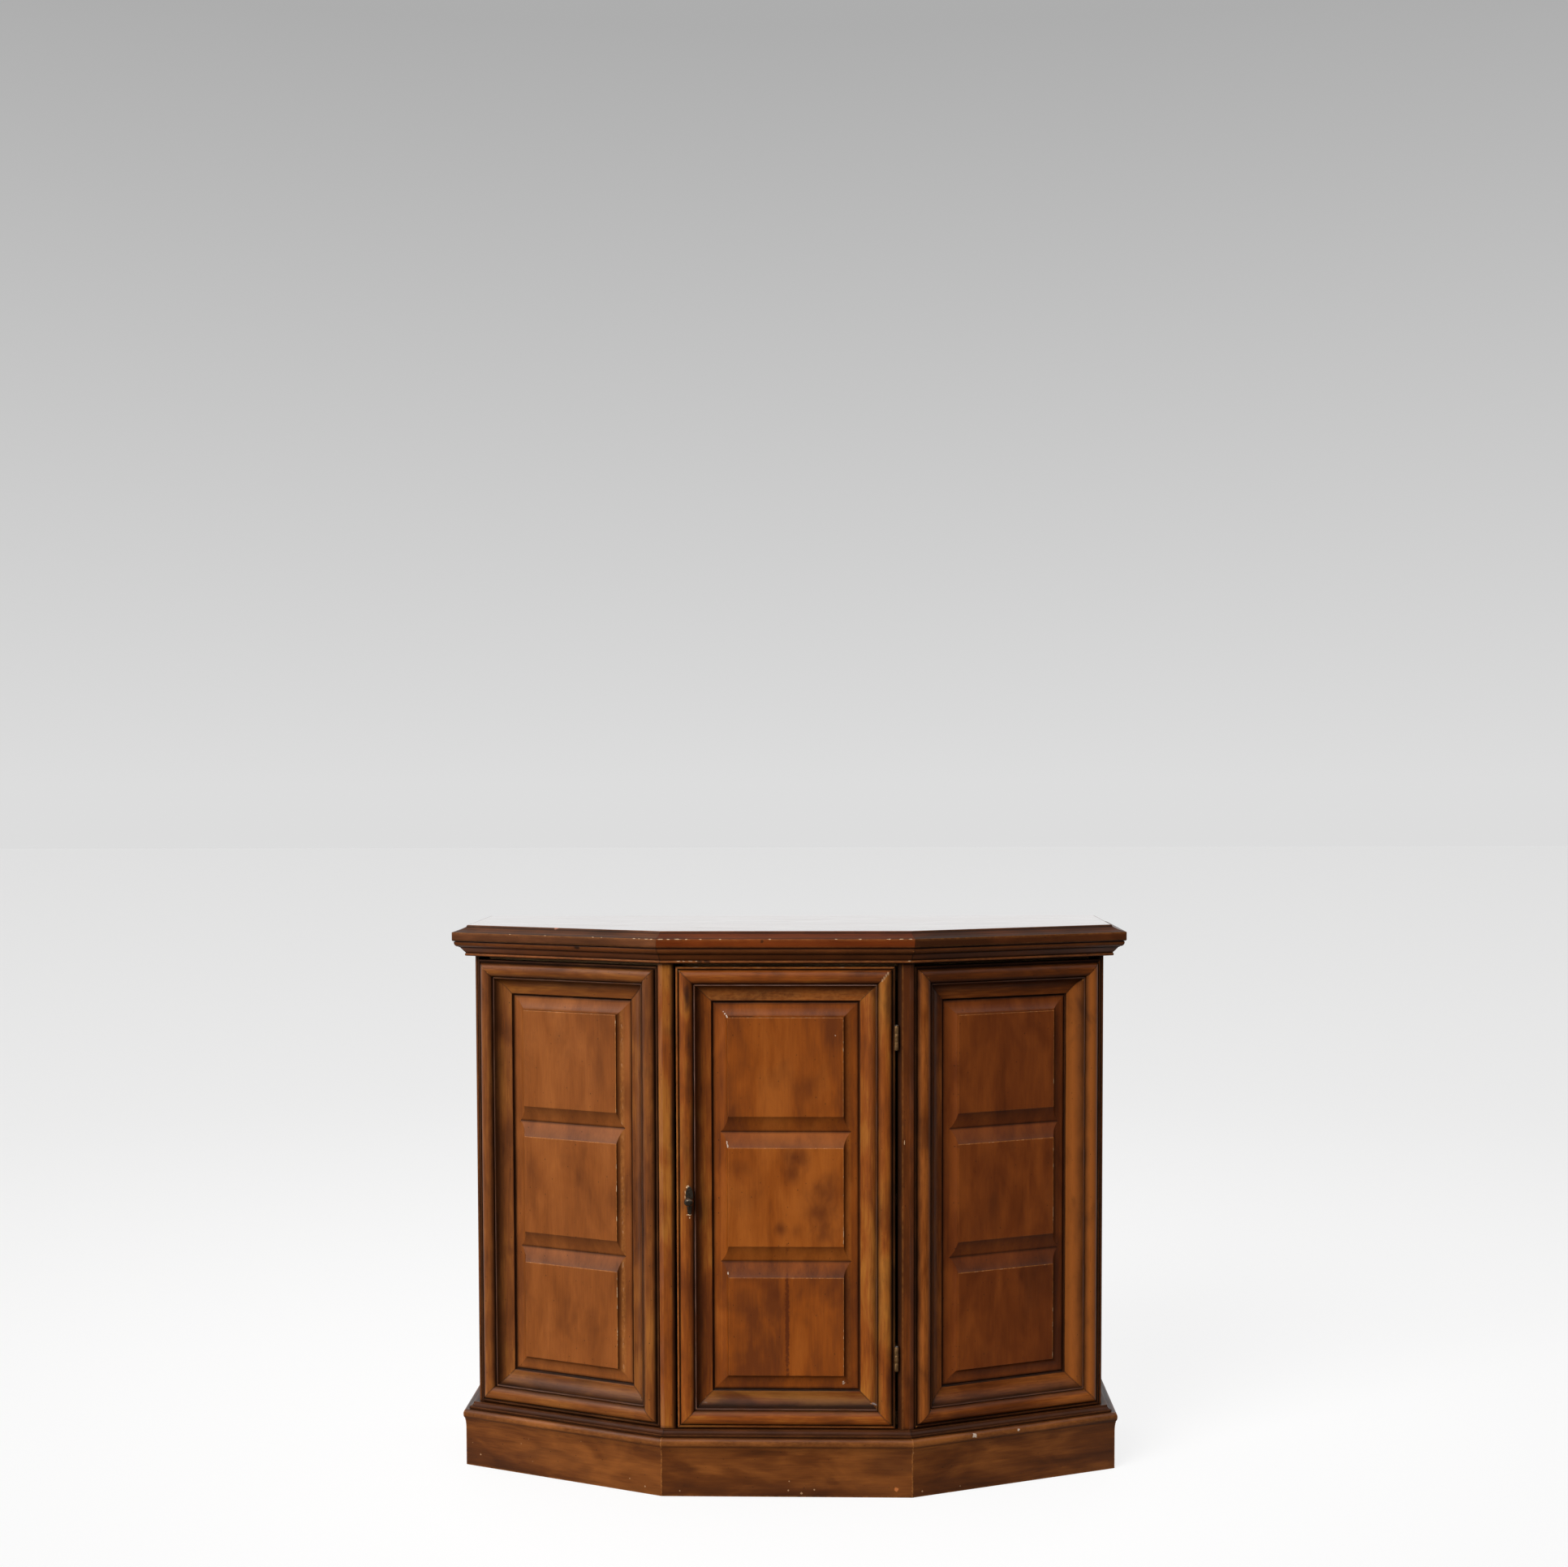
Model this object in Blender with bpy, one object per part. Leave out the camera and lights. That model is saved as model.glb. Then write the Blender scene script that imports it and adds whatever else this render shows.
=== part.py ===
"""Console cabinet with a flat front, two canted sides and one door.

Units are metres, +Z is up and the front faces -Y. The origin is under the middle of the
top board's box, on the floor. Plans are drawn from the plinth's faces: an inset is how far
a line lies behind the plinth's face, and a negative inset lies in front of it.
"""

import math

import bmesh
import bpy
from mathutils import Matrix, Vector

# Overall size, at the top board's sharp edge
TOP_WIDTH = 0.914
TOP_DEPTH = 0.340
HEIGHT = 0.746

# Plan of the plinth
TOP_OVERHANG = 0.0115
FRONT_WIDTH = 0.3304
CANT_DEPTH = 0.126
BODY_INSET = 0.0172

# Clearance between pieces that touch on the real cabinet
CLEAR = 0.0003
MITRE_CLEAR = 0.0002

# Plinth boards with a nosed top edge
PLINTH_HEIGHT = 0.0774
PLINTH_THICK = 0.022
NOSE_OUT = 0.0035
NOSE_UPPER = 0.0062
NOSE_LOWER = 0.010

# Base moulding that the case stands on
CAP_HEIGHT = 0.0089
CAP_INSET = 0.0041
CAP_FILLET = 0.0031
CAP_COVE_RUN = 0.0058
CAP_WIDTH = 0.060

# Cornice under the top board
CORNICE_HEIGHT = 0.0208
CORNICE_WIDTH = 0.060
CORNICE_INSET = 0.0058
CORNICE_BEAD_OUT = 0.0013
CORNICE_BEAD_HALF = 0.0019
CORNICE_SLOPE_RUN = 0.0076
CORNICE_SLOPE_RISE = 0.0084
CORNICE_FILLET = 0.0012
CORNICE_OVOLO_OUT = 0.0062
CORNICE_OVOLO_RISE = 0.0064

# Top board
TOP_THICK = 0.0212
TOP_FACE = 0.0119
TOP_LOWER_CHAMFER = 0.0012
TOP_COVE_RUN = 0.0179
TOP_COVE_RISE = 0.0069
TOP_COVE_HOLLOW = 0.0007
TOP_STEP = 0.0021

# Door and canted frames. Depths and heights are measured from the outer lip's face.
LIP_INSET = 0.014
DOOR_BOTTOM_GAP = 0.0019
DOOR_TOP_GAP = 0.0053
FRAME_WIDTH = 0.046
FRAME_BACK = 0.020
REBATE_WIDTH = 0.008
REBATE_DEPTH = 0.0151
LIP_WIDTH = 0.0024
LIP_EASE = 0.0006
LIP_QUIRK_WIDTH = 0.0016
LIP_QUIRK_DEPTH = 0.0016
TORUS_WIDTH = 0.0186
TORUS_HEIGHT = 0.0056
TORUS_FOOT = 0.0008
FILLET_WIDTH = 0.0022
FILLET_DEPTH = 0.0002
INNER_COVE_WIDTH = 0.0197
INNER_COVE_DEPTH = 0.0124
INNER_COVE_START = 12.0

# Raised panel with three fields, one above the other
FIELDS = 3
PANEL_BACK = 0.0197
PANEL_RAISE = 0.0081
BEVEL = 0.0212
VALLEY = 0.0413
VALLEY_DEPTH = 0.0069
VALLEY_CURVE = 1.25

# Posts, door opening and ends
POST_FRONT = 0.0190
POST_SHOW = 0.0067
END_POST_SHOW = 0.0067
FREE_GAP = 0.0020
HINGE_GAP = 0.0036
POST_EASE = 0.0047
END_POST_DEPTH = 0.024
END_THICK = 0.018

# Inside of the case
DOOR_BACK_CLEAR = 0.002
FLOOR_THICK = 0.018
HEADER_HEIGHT = 0.0252
HEADER_THICK = 0.018
BACK_THICK = 0.006
BACK_SET = 0.001
RAIL_THICK = 0.020
SHELF_THICK = 0.016
SHELF_HEIGHT = 0.375
SHELF_FRONT_INSET = 0.060
SHELF_SIDE_CLEAR = 0.001
PIN_RADIUS = 0.0024
PIN_REACH = 0.009
PIN_HOLE_DEPTH = 0.0095
PIN_FRONT_SET = 0.035
PIN_BACK_SET = 0.045
PIN_HOLE_PITCH = 0.064
PIN_HOLE_ROWS = (-1, 0, 1)

# Butt hinges
HINGE_HEIGHT = 0.032
HINGE_EDGE = 0.0771
HINGE_PROUD = 0.0024
KNUCKLE_RADIUS = 0.0027
PIN_SHAFT_RADIUS = 0.0012
PIN_HEAD_RADIUS = 0.0023
PIN_HEAD_HEIGHT = 0.0016
LEAF_DEPTH = 0.020

# Knob and its back plate, on the torus of the free stile
KNOB_HEIGHT = 0.3922
KNOB_FROM_EDGE = 0.0172
PLATE_WIDTH = 0.0105
PLATE_HEIGHT = 0.0376
PLATE_POINT = 0.010
PLATE_THICK = 0.0012
KNOB_WIDTH = 0.0138
KNOB_TALL = 0.0112
KNOB_REACH = 0.0164
KNOB_FOOT_WIDTH = 0.0086
KNOB_FOOT_TALL = 0.0070
KNOB_NECK_WIDTH = 0.0054
KNOB_NECK_TALL = 0.0044
KNOB_NECK_START = 0.0028
KNOB_NECK_END = 0.0058
KNOB_HEAD_HALF = 0.0060
KNOB_HEAD_FROM = -60
KNOB_HEAD_TO = 75

# Magnetic catch behind the door's top corner
CATCH_X = -0.105
CATCH_WIDTH = 0.040
CATCH_HEIGHT = 0.014
CATCH_DEPTH = 0.020
STRIKE_MARGIN = 0.001
STRIKE_THICK = 0.0012

# Steps of the curved stretches
TORUS_STEPS = 8
COVE_STEPS = 5
NOSE_STEPS = 4
BEVEL_STEPS = 4
VALLEY_STEPS = 5
ROUND_STEPS = 16
SMOOTH_ANGLE = 50

# Places worked out from the sizes above
PLINTH_HALF = TOP_WIDTH / 2 - TOP_OVERHANG
FACE_Y = -TOP_DEPTH / 2 + TOP_OVERHANG
WALL_Y = TOP_DEPTH / 2
FRONT_HALF = FRONT_WIDTH / 2
CANT = math.atan2(CANT_DEPTH, PLINTH_HALF - FRONT_HALF)
CANT_LENGTH = math.hypot(CANT_DEPTH, PLINTH_HALF - FRONT_HALF)
CANTED_START = BODY_INSET * math.tan(CANT / 2) + POST_SHOW
CANTED_END = CANT_LENGTH - BODY_INSET * math.tan(math.pi / 4 - CANT / 2) - END_POST_SHOW
CANTED_WIDTH = CANTED_END - CANTED_START
TOP_UNDERSIDE = HEIGHT - TOP_THICK
CORNICE_BOTTOM = TOP_UNDERSIDE - CORNICE_HEIGHT
HEADER_BOTTOM = CORNICE_BOTTOM - HEADER_HEIGHT
CAP_TOP = PLINTH_HEIGHT + CAP_HEIGHT
DOOR_BOTTOM = CAP_TOP + DOOR_BOTTOM_GAP
DOOR_TOP = CORNICE_BOTTOM - DOOR_TOP_GAP
DOOR_OPENING_HALF = FRONT_HALF - POST_FRONT
FRAME_HEIGHT = DOOR_TOP - DOOR_BOTTOM
FRAME_MIDDLE = (DOOR_TOP + DOOR_BOTTOM) / 2
LIP_Y = FACE_Y + LIP_INSET
FRAME_BACK_INSET = LIP_INSET + FRAME_BACK
CANTED_INSIDE = FRAME_BACK_INSET + 2 * CLEAR
FRONT_INSIDE = FRAME_BACK_INSET + DOOR_BACK_CLEAR
END_INSIDE = BODY_INSET + END_THICK + CLEAR
BACK_FRONT_Y = WALL_Y - BACK_SET - BACK_THICK
CASE_BOTTOM = CAP_TOP + CLEAR
CASE_TOP = CORNICE_BOTTOM - CLEAR
DOOR_LEFT = -DOOR_OPENING_HALF + FREE_GAP
DOOR_RIGHT = DOOR_OPENING_HALF - HINGE_GAP
DOOR_WIDTH = DOOR_RIGHT - DOOR_LEFT
DOOR_MIDDLE = (DOOR_RIGHT + DOOR_LEFT) / 2
HINGE_X = (DOOR_RIGHT + DOOR_OPENING_HALF) / 2
HINGE_Y = LIP_Y - HINGE_PROUD
KNOB_X = DOOR_LEFT + KNOB_FROM_EDGE


def clear_scene():
    """Removes whatever the scene holds."""
    for obj in list(bpy.data.objects):
        bpy.data.objects.remove(obj, do_unlink=True)


def make_material(name, colour, roughness, metallic=0.0):
    """One Principled material."""
    made = bpy.data.materials.new(name)
    made.use_nodes = True
    shader = made.node_tree.nodes["Principled BSDF"]
    shader.inputs["Base Color"].default_value = (*colour, 1.0)
    shader.inputs["Roughness"].default_value = roughness
    shader.inputs["Metallic"].default_value = metallic
    return made


def arc(centre, radii, start, end, steps):
    """Points of an ellipse's arc, from one angle in degrees to another."""
    points = []
    for i in range(steps + 1):
        angle = math.radians(start + (end - start) * i / steps)
        points.append(
            (centre[0] + radii[0] * math.cos(angle), centre[1] + radii[1] * math.sin(angle))
        )
    return points


def finish_object(name, bm, material, parent=None, smooth_angle=None):
    """Turns a bmesh into a named object with its faces pointing out."""
    bmesh.ops.recalc_face_normals(bm, faces=bm.faces)
    mesh = bpy.data.meshes.new(name)
    bm.to_mesh(mesh)
    bm.free()
    mesh.materials.append(material)
    obj = bpy.data.objects.new(name, mesh)
    bpy.context.collection.objects.link(obj)
    if smooth_angle:
        mesh.shade_smooth()
        mesh.set_sharp_from_angle(angle=math.radians(smooth_angle))
    if parent:
        obj.parent = parent
        obj.matrix_parent_inverse = parent.matrix_world.inverted()
    return obj


def stack(name, rings, material, parent=None, smooth_angle=None):
    """A closed solid through rings of equally many points, capped at both ends."""
    bm = bmesh.new()
    loops = [[bm.verts.new(point) for point in ring] for ring in rings]
    for low, high in zip(loops, loops[1:]):
        for i in range(len(low)):
            j = (i + 1) % len(low)
            bm.faces.new((low[i], low[j], high[j], high[i]))
    bm.faces.new(loops[0][::-1])
    bm.faces.new(loops[-1])
    return finish_object(name, bm, material, parent, smooth_angle)


def plate(name, outline, bottom, top, material, parent=None):
    """A flat board of the given outline between two heights."""
    rings = [[(x, y, z) for x, y in outline] for z in (bottom, top)]
    return stack(name, rings, material, parent)


def box(name, low, high, material, parent=None):
    """A block between two opposite corners."""
    outline = [(low[0], low[1]), (high[0], low[1]), (high[0], high[1]), (low[0], high[1])]
    return plate(name, outline, low[2], high[2], material, parent)


def front_corner(side, front, cant):
    """Where a line along the front meets a line along one canted side."""
    across = (math.cos(CANT) * front - cant) / math.sin(CANT)
    return Vector((side * (FRONT_HALF + across), FACE_Y + front))


def end_corner(side, cant, end):
    """Where a line along one canted side meets a line along that end."""
    x = PLINTH_HALF - end
    back = (math.sin(CANT) * (x - FRONT_HALF) + cant) / math.cos(CANT)
    return Vector((side * x, FACE_Y + back))


def canted_point(side, along, inset):
    """A point on one canted side, measured along it from the plinth's front corner."""
    x = FRONT_HALF + along * math.cos(CANT) - inset * math.sin(CANT)
    y = FACE_Y + along * math.sin(CANT) + inset * math.cos(CANT)
    return Vector((side * x, y))


def outline(front, cant, end, back_y):
    """The six corners of a board that fills the plan inside the given insets."""
    x = PLINTH_HALF - end
    return [
        front_corner(-1, front, cant),
        front_corner(1, front, cant),
        end_corner(1, cant, end),
        Vector((x, back_y)),
        Vector((-x, back_y)),
        end_corner(-1, cant, end),
    ]


def front_line(inset):
    """Both ends of a front moulding's line."""
    return front_corner(-1, inset, inset), front_corner(1, inset, inset)


def canted_line(side):
    """The function that gives both ends of a canted moulding's line."""
    return lambda inset: (front_corner(side, inset, inset), end_corner(side, inset, inset))


def end_line(side):
    """The function that gives both ends of an end moulding's line, back to the wall."""
    return lambda inset: (
        end_corner(side, inset, inset),
        Vector((side * (PLINTH_HALF - inset), WALL_Y)),
    )


def moulding(name, section, line, material):
    """A length of moulding, mitred where its line turns. The section is (inset, height)."""
    rings = ([], [])
    for inset, height in section:
        start, end = line(inset)
        ease = (end - start).normalized() * MITRE_CLEAR
        rings[0].append((*(start + ease), height))
        rings[1].append((*(end - ease), height))
    return stack(name, rings, material)


def mouldings_round(name, section, material):
    """The front, canted and end lengths of one moulding."""
    moulding(f"{name}_front", section, front_line, material)
    for side, word in ((-1, "left"), (1, "right")):
        moulding(f"{name}_{word}_canted", section, canted_line(side), material)
        moulding(f"{name}_{word}_end", section, end_line(side), material)


def plinth_section():
    """A plinth board with a nosed top edge."""
    nose_z = PLINTH_HEIGHT - NOSE_UPPER
    lower = arc((0.0, nose_z), (-NOSE_OUT, NOSE_LOWER), -90, 0, NOSE_STEPS)
    upper = arc((0.0, nose_z), (-NOSE_OUT, NOSE_UPPER), 0, 90, NOSE_STEPS)
    return [
        (PLINTH_THICK, 0.0),
        (0.0, 0.0),
        *lower,
        *upper[1:],
        (PLINTH_THICK, PLINTH_HEIGHT),
    ]


def cap_section():
    """The base moulding: a fillet and a cove under a flat ledge."""
    bottom = PLINTH_HEIGHT + CLEAR
    cove_rise = CAP_TOP - bottom - CAP_FILLET
    cove = arc((CAP_INSET, CAP_TOP), (CAP_COVE_RUN, cove_rise), -90, 0, COVE_STEPS)
    return [
        (CAP_WIDTH, bottom),
        (CAP_INSET, bottom),
        *cove,
        (CAP_WIDTH, CAP_TOP),
    ]


def cornice_section():
    """The cornice: a bead, a slope, a fillet and an ovolo under the top board."""
    bead_z = CORNICE_BOTTOM + CORNICE_BEAD_HALF
    bead = arc(
        (CORNICE_INSET, bead_z), (-CORNICE_BEAD_OUT, CORNICE_BEAD_HALF), -90, 90, NOSE_STEPS
    )
    slope_x = CORNICE_INSET - CORNICE_SLOPE_RUN
    slope_z = bead_z + CORNICE_BEAD_HALF + CORNICE_SLOPE_RISE
    ovolo = arc(
        (slope_x - CORNICE_FILLET, slope_z + CORNICE_OVOLO_RISE),
        (-CORNICE_OVOLO_OUT, CORNICE_OVOLO_RISE),
        -90,
        0,
        NOSE_STEPS,
    )
    return [
        (CORNICE_WIDTH, CORNICE_BOTTOM),
        *bead,
        (slope_x, slope_z),
        *ovolo,
        (ovolo[-1][0], TOP_UNDERSIDE - CLEAR),
        (CORNICE_WIDTH, TOP_UNDERSIDE - CLEAR),
    ]


def top_section():
    """Outer edge of the top board, from its underside up: face, hollow slope and step."""
    face_top = TOP_UNDERSIDE + TOP_FACE
    points = [
        (-TOP_OVERHANG + TOP_LOWER_CHAMFER, TOP_UNDERSIDE),
        (-TOP_OVERHANG, TOP_UNDERSIDE + TOP_LOWER_CHAMFER),
    ]
    for i in range(COVE_STEPS + 1):
        t = i / COVE_STEPS
        hollow = TOP_COVE_HOLLOW * math.sin(math.pi * t)
        points.append((-TOP_OVERHANG + TOP_COVE_RUN * t, face_top + TOP_COVE_RISE * t - hollow))
    points.append((points[-1][0] + TOP_STEP, HEIGHT))
    return points


def top_board(material):
    """The top board, moulded on its front, canted and end edges."""
    rings = []
    for inset, height in top_section():
        rings.append([(*corner, height) for corner in outline(inset, inset, inset, WALL_Y)])
    stack("top_board", rings, material)


def frame_section():
    """A frame member's section as (across from its outer edge, height over the lip)."""
    torus_start = LIP_WIDTH + LIP_QUIRK_WIDTH
    torus_middle = torus_start + TORUS_WIDTH / 2
    torus = arc(
        (torus_middle, -TORUS_FOOT),
        (-TORUS_WIDTH / 2, TORUS_HEIGHT + TORUS_FOOT),
        0,
        180,
        TORUS_STEPS,
    )
    fillet_start = torus_start + TORUS_WIDTH + LIP_EASE
    cove_start = fillet_start + FILLET_WIDTH
    cove_end = cove_start + INNER_COVE_WIDTH
    cove = []
    for i in range(COVE_STEPS + 1):
        angle = math.radians(INNER_COVE_START + (90 - INNER_COVE_START) * i / COVE_STEPS)
        low = math.sin(math.radians(INNER_COVE_START))
        drop = (math.sin(angle) - low) / (1 - low)
        reach = 1 - math.cos(angle) / math.cos(math.radians(INNER_COVE_START))
        height = -FILLET_DEPTH - INNER_COVE_DEPTH * drop
        cove.append((cove_start + INNER_COVE_WIDTH * reach, height))
    return [
        (0.0, -FRAME_BACK),
        (0.0, -LIP_EASE),
        (LIP_EASE, 0.0),
        (LIP_WIDTH, 0.0),
        (LIP_WIDTH, -LIP_QUIRK_DEPTH),
        (torus_start, -LIP_QUIRK_DEPTH),
        *torus,
        (fillet_start - LIP_EASE, -LIP_QUIRK_DEPTH),
        (fillet_start, -LIP_QUIRK_DEPTH),
        (fillet_start, -FILLET_DEPTH),
        *cove,
        (max(FRAME_WIDTH, cove_end), cove[-1][1]),
        (max(FRAME_WIDTH, cove_end), -REBATE_DEPTH),
        (FRAME_WIDTH - REBATE_WIDTH, -REBATE_DEPTH),
        (FRAME_WIDTH - REBATE_WIDTH, -FRAME_BACK),
    ]


def front_place(x, height, z):
    """A point of the door from its own middle, in the world."""
    return Vector((DOOR_MIDDLE + x, LIP_Y - height, FRAME_MIDDLE + z))


def canted_place(side):
    """The function that puts a point of one canted frame in the world."""
    middle = (CANTED_START + CANTED_END) / 2

    def place(x, height, z):
        spot = canted_point(side, middle + side * x, LIP_INSET - height)
        return Vector((*spot, FRAME_MIDDLE + z))

    return place


def frame_stile(name, place, width, sign, material, parent=None):
    """The upright member on one side of a frame, mitred at both ends."""
    rings = ([], [])
    for across, height in frame_section():
        x = sign * (width / 2 - across)
        reach = FRAME_HEIGHT / 2 - across - MITRE_CLEAR
        rings[0].append(place(x, height, -reach))
        rings[1].append(place(x, height, reach))
    return stack(name, rings, material, parent)


def frame_rail(name, place, width, sign, material, parent=None):
    """The level member at the top or bottom of a frame, mitred at both ends."""
    rings = ([], [])
    for across, height in frame_section():
        z = sign * (FRAME_HEIGHT / 2 - across)
        reach = width / 2 - across - MITRE_CLEAR
        rings[0].append(place(-reach, height, z))
        rings[1].append(place(reach, height, z))
    return stack(name, rings, material, parent)


def bevel_run(depth):
    """How far outside a field's edge its hollow bevel reaches this depth."""
    return BEVEL * (1 - math.sqrt(max(0.0, 1 - (depth / PANEL_RAISE) ** 2)))


def valley_run(depth):
    """How far outside a field's edge the groove between two fields reaches this depth."""
    return VALLEY / 2 * (depth / VALLEY_DEPTH) ** VALLEY_CURVE


def field_spans(opening):
    """Bottom and top of each raised field, from the panel's middle."""
    tall = (opening - 2 * BEVEL - (FIELDS - 1) * VALLEY) / FIELDS
    bottom = -opening / 2 + BEVEL
    starts = [bottom + i * (tall + VALLEY) for i in range(FIELDS)]
    return [(start, start + tall) for start in starts]


def raised_panel(name, place, width, material, parent=None):
    """A panel with hollow bevels round three fields and pointed grooves between them."""
    bm = bmesh.new()
    field_half = width / 2 - FRAME_WIDTH - BEVEL
    opening = FRAME_HEIGHT - 2 * FRAME_WIDTH
    spans = field_spans(opening)
    edge_height = -REBATE_DEPTH - CLEAR
    field_height = edge_height + PANEL_RAISE

    def point(x, z, depth):
        return bm.verts.new(place(x, field_height - depth, z))

    def rectangle(half, low, high, depth):
        return [
            point(-half, low, depth),
            point(half, low, depth),
            point(half, high, depth),
            point(-half, high, depth),
        ]

    def ring(outer, inner):
        for i in range(4):
            j = (i + 1) % 4
            bm.faces.new((outer[i], outer[j], inner[j], inner[i]))

    tongue = REBATE_WIDTH - CLEAR
    half = width / 2 - FRAME_WIDTH + tongue
    tall = opening / 2 + tongue
    front = rectangle(half, -tall, tall, PANEL_RAISE)
    back = rectangle(half, -tall, tall, PANEL_BACK - REBATE_DEPTH - CLEAR + PANEL_RAISE)
    bm.faces.new(back)
    ring(front, back)

    outer = front
    for i in range(BEVEL_STEPS):
        depth = PANEL_RAISE + (VALLEY_DEPTH - PANEL_RAISE) * i / BEVEL_STEPS
        run = bevel_run(depth)
        inner = rectangle(field_half + run, spans[0][0] - run, spans[-1][1] + run, depth)
        ring(outer, inner)
        outer = inner

    run = bevel_run(VALLEY_DEPTH)
    levels = [spans[0][0] - run]
    levels += [(low[1] + high[0]) / 2 for low, high in zip(spans, spans[1:])]
    levels += [spans[-1][1] + run]
    left = [point(-field_half - run, z, VALLEY_DEPTH) for z in levels]
    right = [point(field_half + run, z, VALLEY_DEPTH) for z in levels]
    bm.faces.new((outer[0], outer[1], right[0], left[0]))
    bm.faces.new((outer[1], outer[2], *right[::-1]))
    bm.faces.new((outer[2], outer[3], left[-1], right[-1]))
    bm.faces.new((outer[3], outer[0], *left))

    for k, (low, high) in enumerate(spans):
        outer = [left[k], right[k], right[k + 1], left[k + 1]]
        low_run = bevel_run if k == 0 else valley_run
        high_run = bevel_run if k == FIELDS - 1 else valley_run
        for i in range(VALLEY_STEPS - 1, -1, -1):
            depth = VALLEY_DEPTH * i / VALLEY_STEPS
            half = field_half + bevel_run(depth)
            inner = rectangle(half, low - low_run(depth), high + high_run(depth), depth)
            ring(outer, inner)
            outer = inner
        bm.faces.new(outer)
    return finish_object(name, bm, material, parent)


def panelled_frame(name, words, place, width, material, parent=None):
    """Two stiles, two rails and a raised panel."""
    frame_stile(f"{name}_{words[0]}_stile", place, width, -1, material, parent)
    frame_stile(f"{name}_{words[1]}_stile", place, width, 1, material, parent)
    frame_rail(f"{name}_top_rail", place, width, 1, material, parent)
    frame_rail(f"{name}_bottom_rail", place, width, -1, material, parent)
    raised_panel(f"{name}_raised_panel", place, width, material, parent)


def corner_post(side, word, material):
    """The eased post between the door and a canted frame."""
    start = CANTED_START - CLEAR
    back = FRAME_BACK_INSET
    ease_y = LIP_Y + POST_EASE
    inner = arc(
        (DOOR_OPENING_HALF + POST_EASE, ease_y), (-POST_EASE, -POST_EASE), 0, 90, COVE_STEPS
    )
    points = [Vector((side * DOOR_OPENING_HALF, FACE_Y + back))]
    points += [Vector((side * x, y)) for x, y in inner]
    points.append(front_corner(side, LIP_INSET, LIP_INSET))
    ease = POST_EASE / 2
    for along, inset in arc((start - ease, LIP_INSET + ease), (ease, -ease), 90, 0, COVE_STEPS):
        points.append(canted_point(side, along, inset))
    points.append(canted_point(side, start, back))
    points.append(front_corner(side, back, back))
    plate(f"{word}_corner_post", points, CASE_BOTTOM, CASE_TOP, material)


def end_post(side, word, material):
    """The narrow post between a canted frame and an end panel."""
    start = CANTED_END + CLEAR
    inside = FRAME_BACK_INSET + CLEAR
    corner = end_corner(side, BODY_INSET, BODY_INSET)
    back_y = corner.y + END_POST_DEPTH
    inner_end = BODY_INSET + END_THICK
    points = [
        canted_point(side, start, BODY_INSET),
        corner,
        Vector((corner.x, back_y)),
        Vector((side * (PLINTH_HALF - inner_end), back_y)),
        end_corner(side, inside, inner_end),
        canted_point(side, start, inside),
    ]
    plate(f"{word}_end_post", points, CASE_BOTTOM, CASE_TOP, material)


def post_back_y():
    """The back of both end posts, where the end panels start."""
    return end_corner(1, BODY_INSET, BODY_INSET).y + END_POST_DEPTH


def cylinder_bmesh(radius, start, end):
    """A bmesh of a round bar between two points."""
    bm = bmesh.new()
    axis = Vector(end) - Vector(start)
    turn = axis.to_track_quat("Z", "Y").to_matrix().to_4x4()
    middle = Matrix.Translation((Vector(start) + Vector(end)) / 2)
    bmesh.ops.create_cone(
        bm,
        cap_ends=True,
        segments=ROUND_STEPS,
        radius1=radius,
        radius2=radius,
        depth=axis.length,
        matrix=middle @ turn,
    )
    return bm


def bar(name, radius, start, end, material, parent=None):
    """A round bar between two points."""
    bm = cylinder_bmesh(radius, start, end)
    return finish_object(name, bm, material, parent, smooth_angle=SMOOTH_ANGLE)


def combine(target, helper, operation):
    """Joins a helper to a target or cuts it away, and hides the helper."""
    helper.hide_render = True
    helper.display_type = "WIRE"
    modifier = target.modifiers.new(f"{operation.lower()}_{helper.name}", "BOOLEAN")
    modifier.operation = operation
    modifier.object = helper


def pin_spots():
    """Distance back of the two columns of shelf pins."""
    return post_back_y() + PIN_FRONT_SET, WALL_Y - PIN_BACK_SET


def pin_height():
    """Height of the shelf pins' axes, under the shelf."""
    return SHELF_HEIGHT - CLEAR - PIN_RADIUS


def end_panel(side, word, material):
    """An end board with its columns of shelf pin holes."""
    outer = PLINTH_HALF - BODY_INSET
    inner = outer - END_THICK
    panel = box(
        f"{word}_end_panel",
        (min(side * inner, side * outer), post_back_y() + CLEAR, CASE_BOTTOM),
        (max(side * inner, side * outer), WALL_Y, CASE_TOP),
        material,
    )
    for column, y in enumerate(pin_spots()):
        for row in PIN_HOLE_ROWS:
            z = pin_height() + row * PIN_HOLE_PITCH
            cutter = bar(
                f"{word}_pin_hole_{column}_{row + 1}",
                PIN_RADIUS + CLEAR,
                (side * (inner - CLEAR), y, z),
                (side * (inner + PIN_HOLE_DEPTH), y, z),
                material,
            )
            combine(panel, cutter, "DIFFERENCE")


def shelf_pins(material):
    """Four pins that carry the shelf."""
    inner = PLINTH_HALF - BODY_INSET - END_THICK
    for side, word in ((-1, "left"), (1, "right")):
        for place, y in zip(("front", "back"), pin_spots()):
            bar(
                f"shelf_pin_{word}_{place}",
                PIN_RADIUS,
                (side * (inner - PIN_REACH), y, pin_height()),
                (side * (inner + PIN_HOLE_DEPTH - CLEAR), y, pin_height()),
                material,
            )


def header(name, line, material):
    """A board behind the top of a face, under the cornice."""
    section = [
        (0.0, HEADER_BOTTOM),
        (0.0, CASE_TOP),
        (HEADER_THICK, CASE_TOP),
        (HEADER_THICK, HEADER_BOTTOM),
    ]
    moulding(name, section, line, material)


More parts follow.
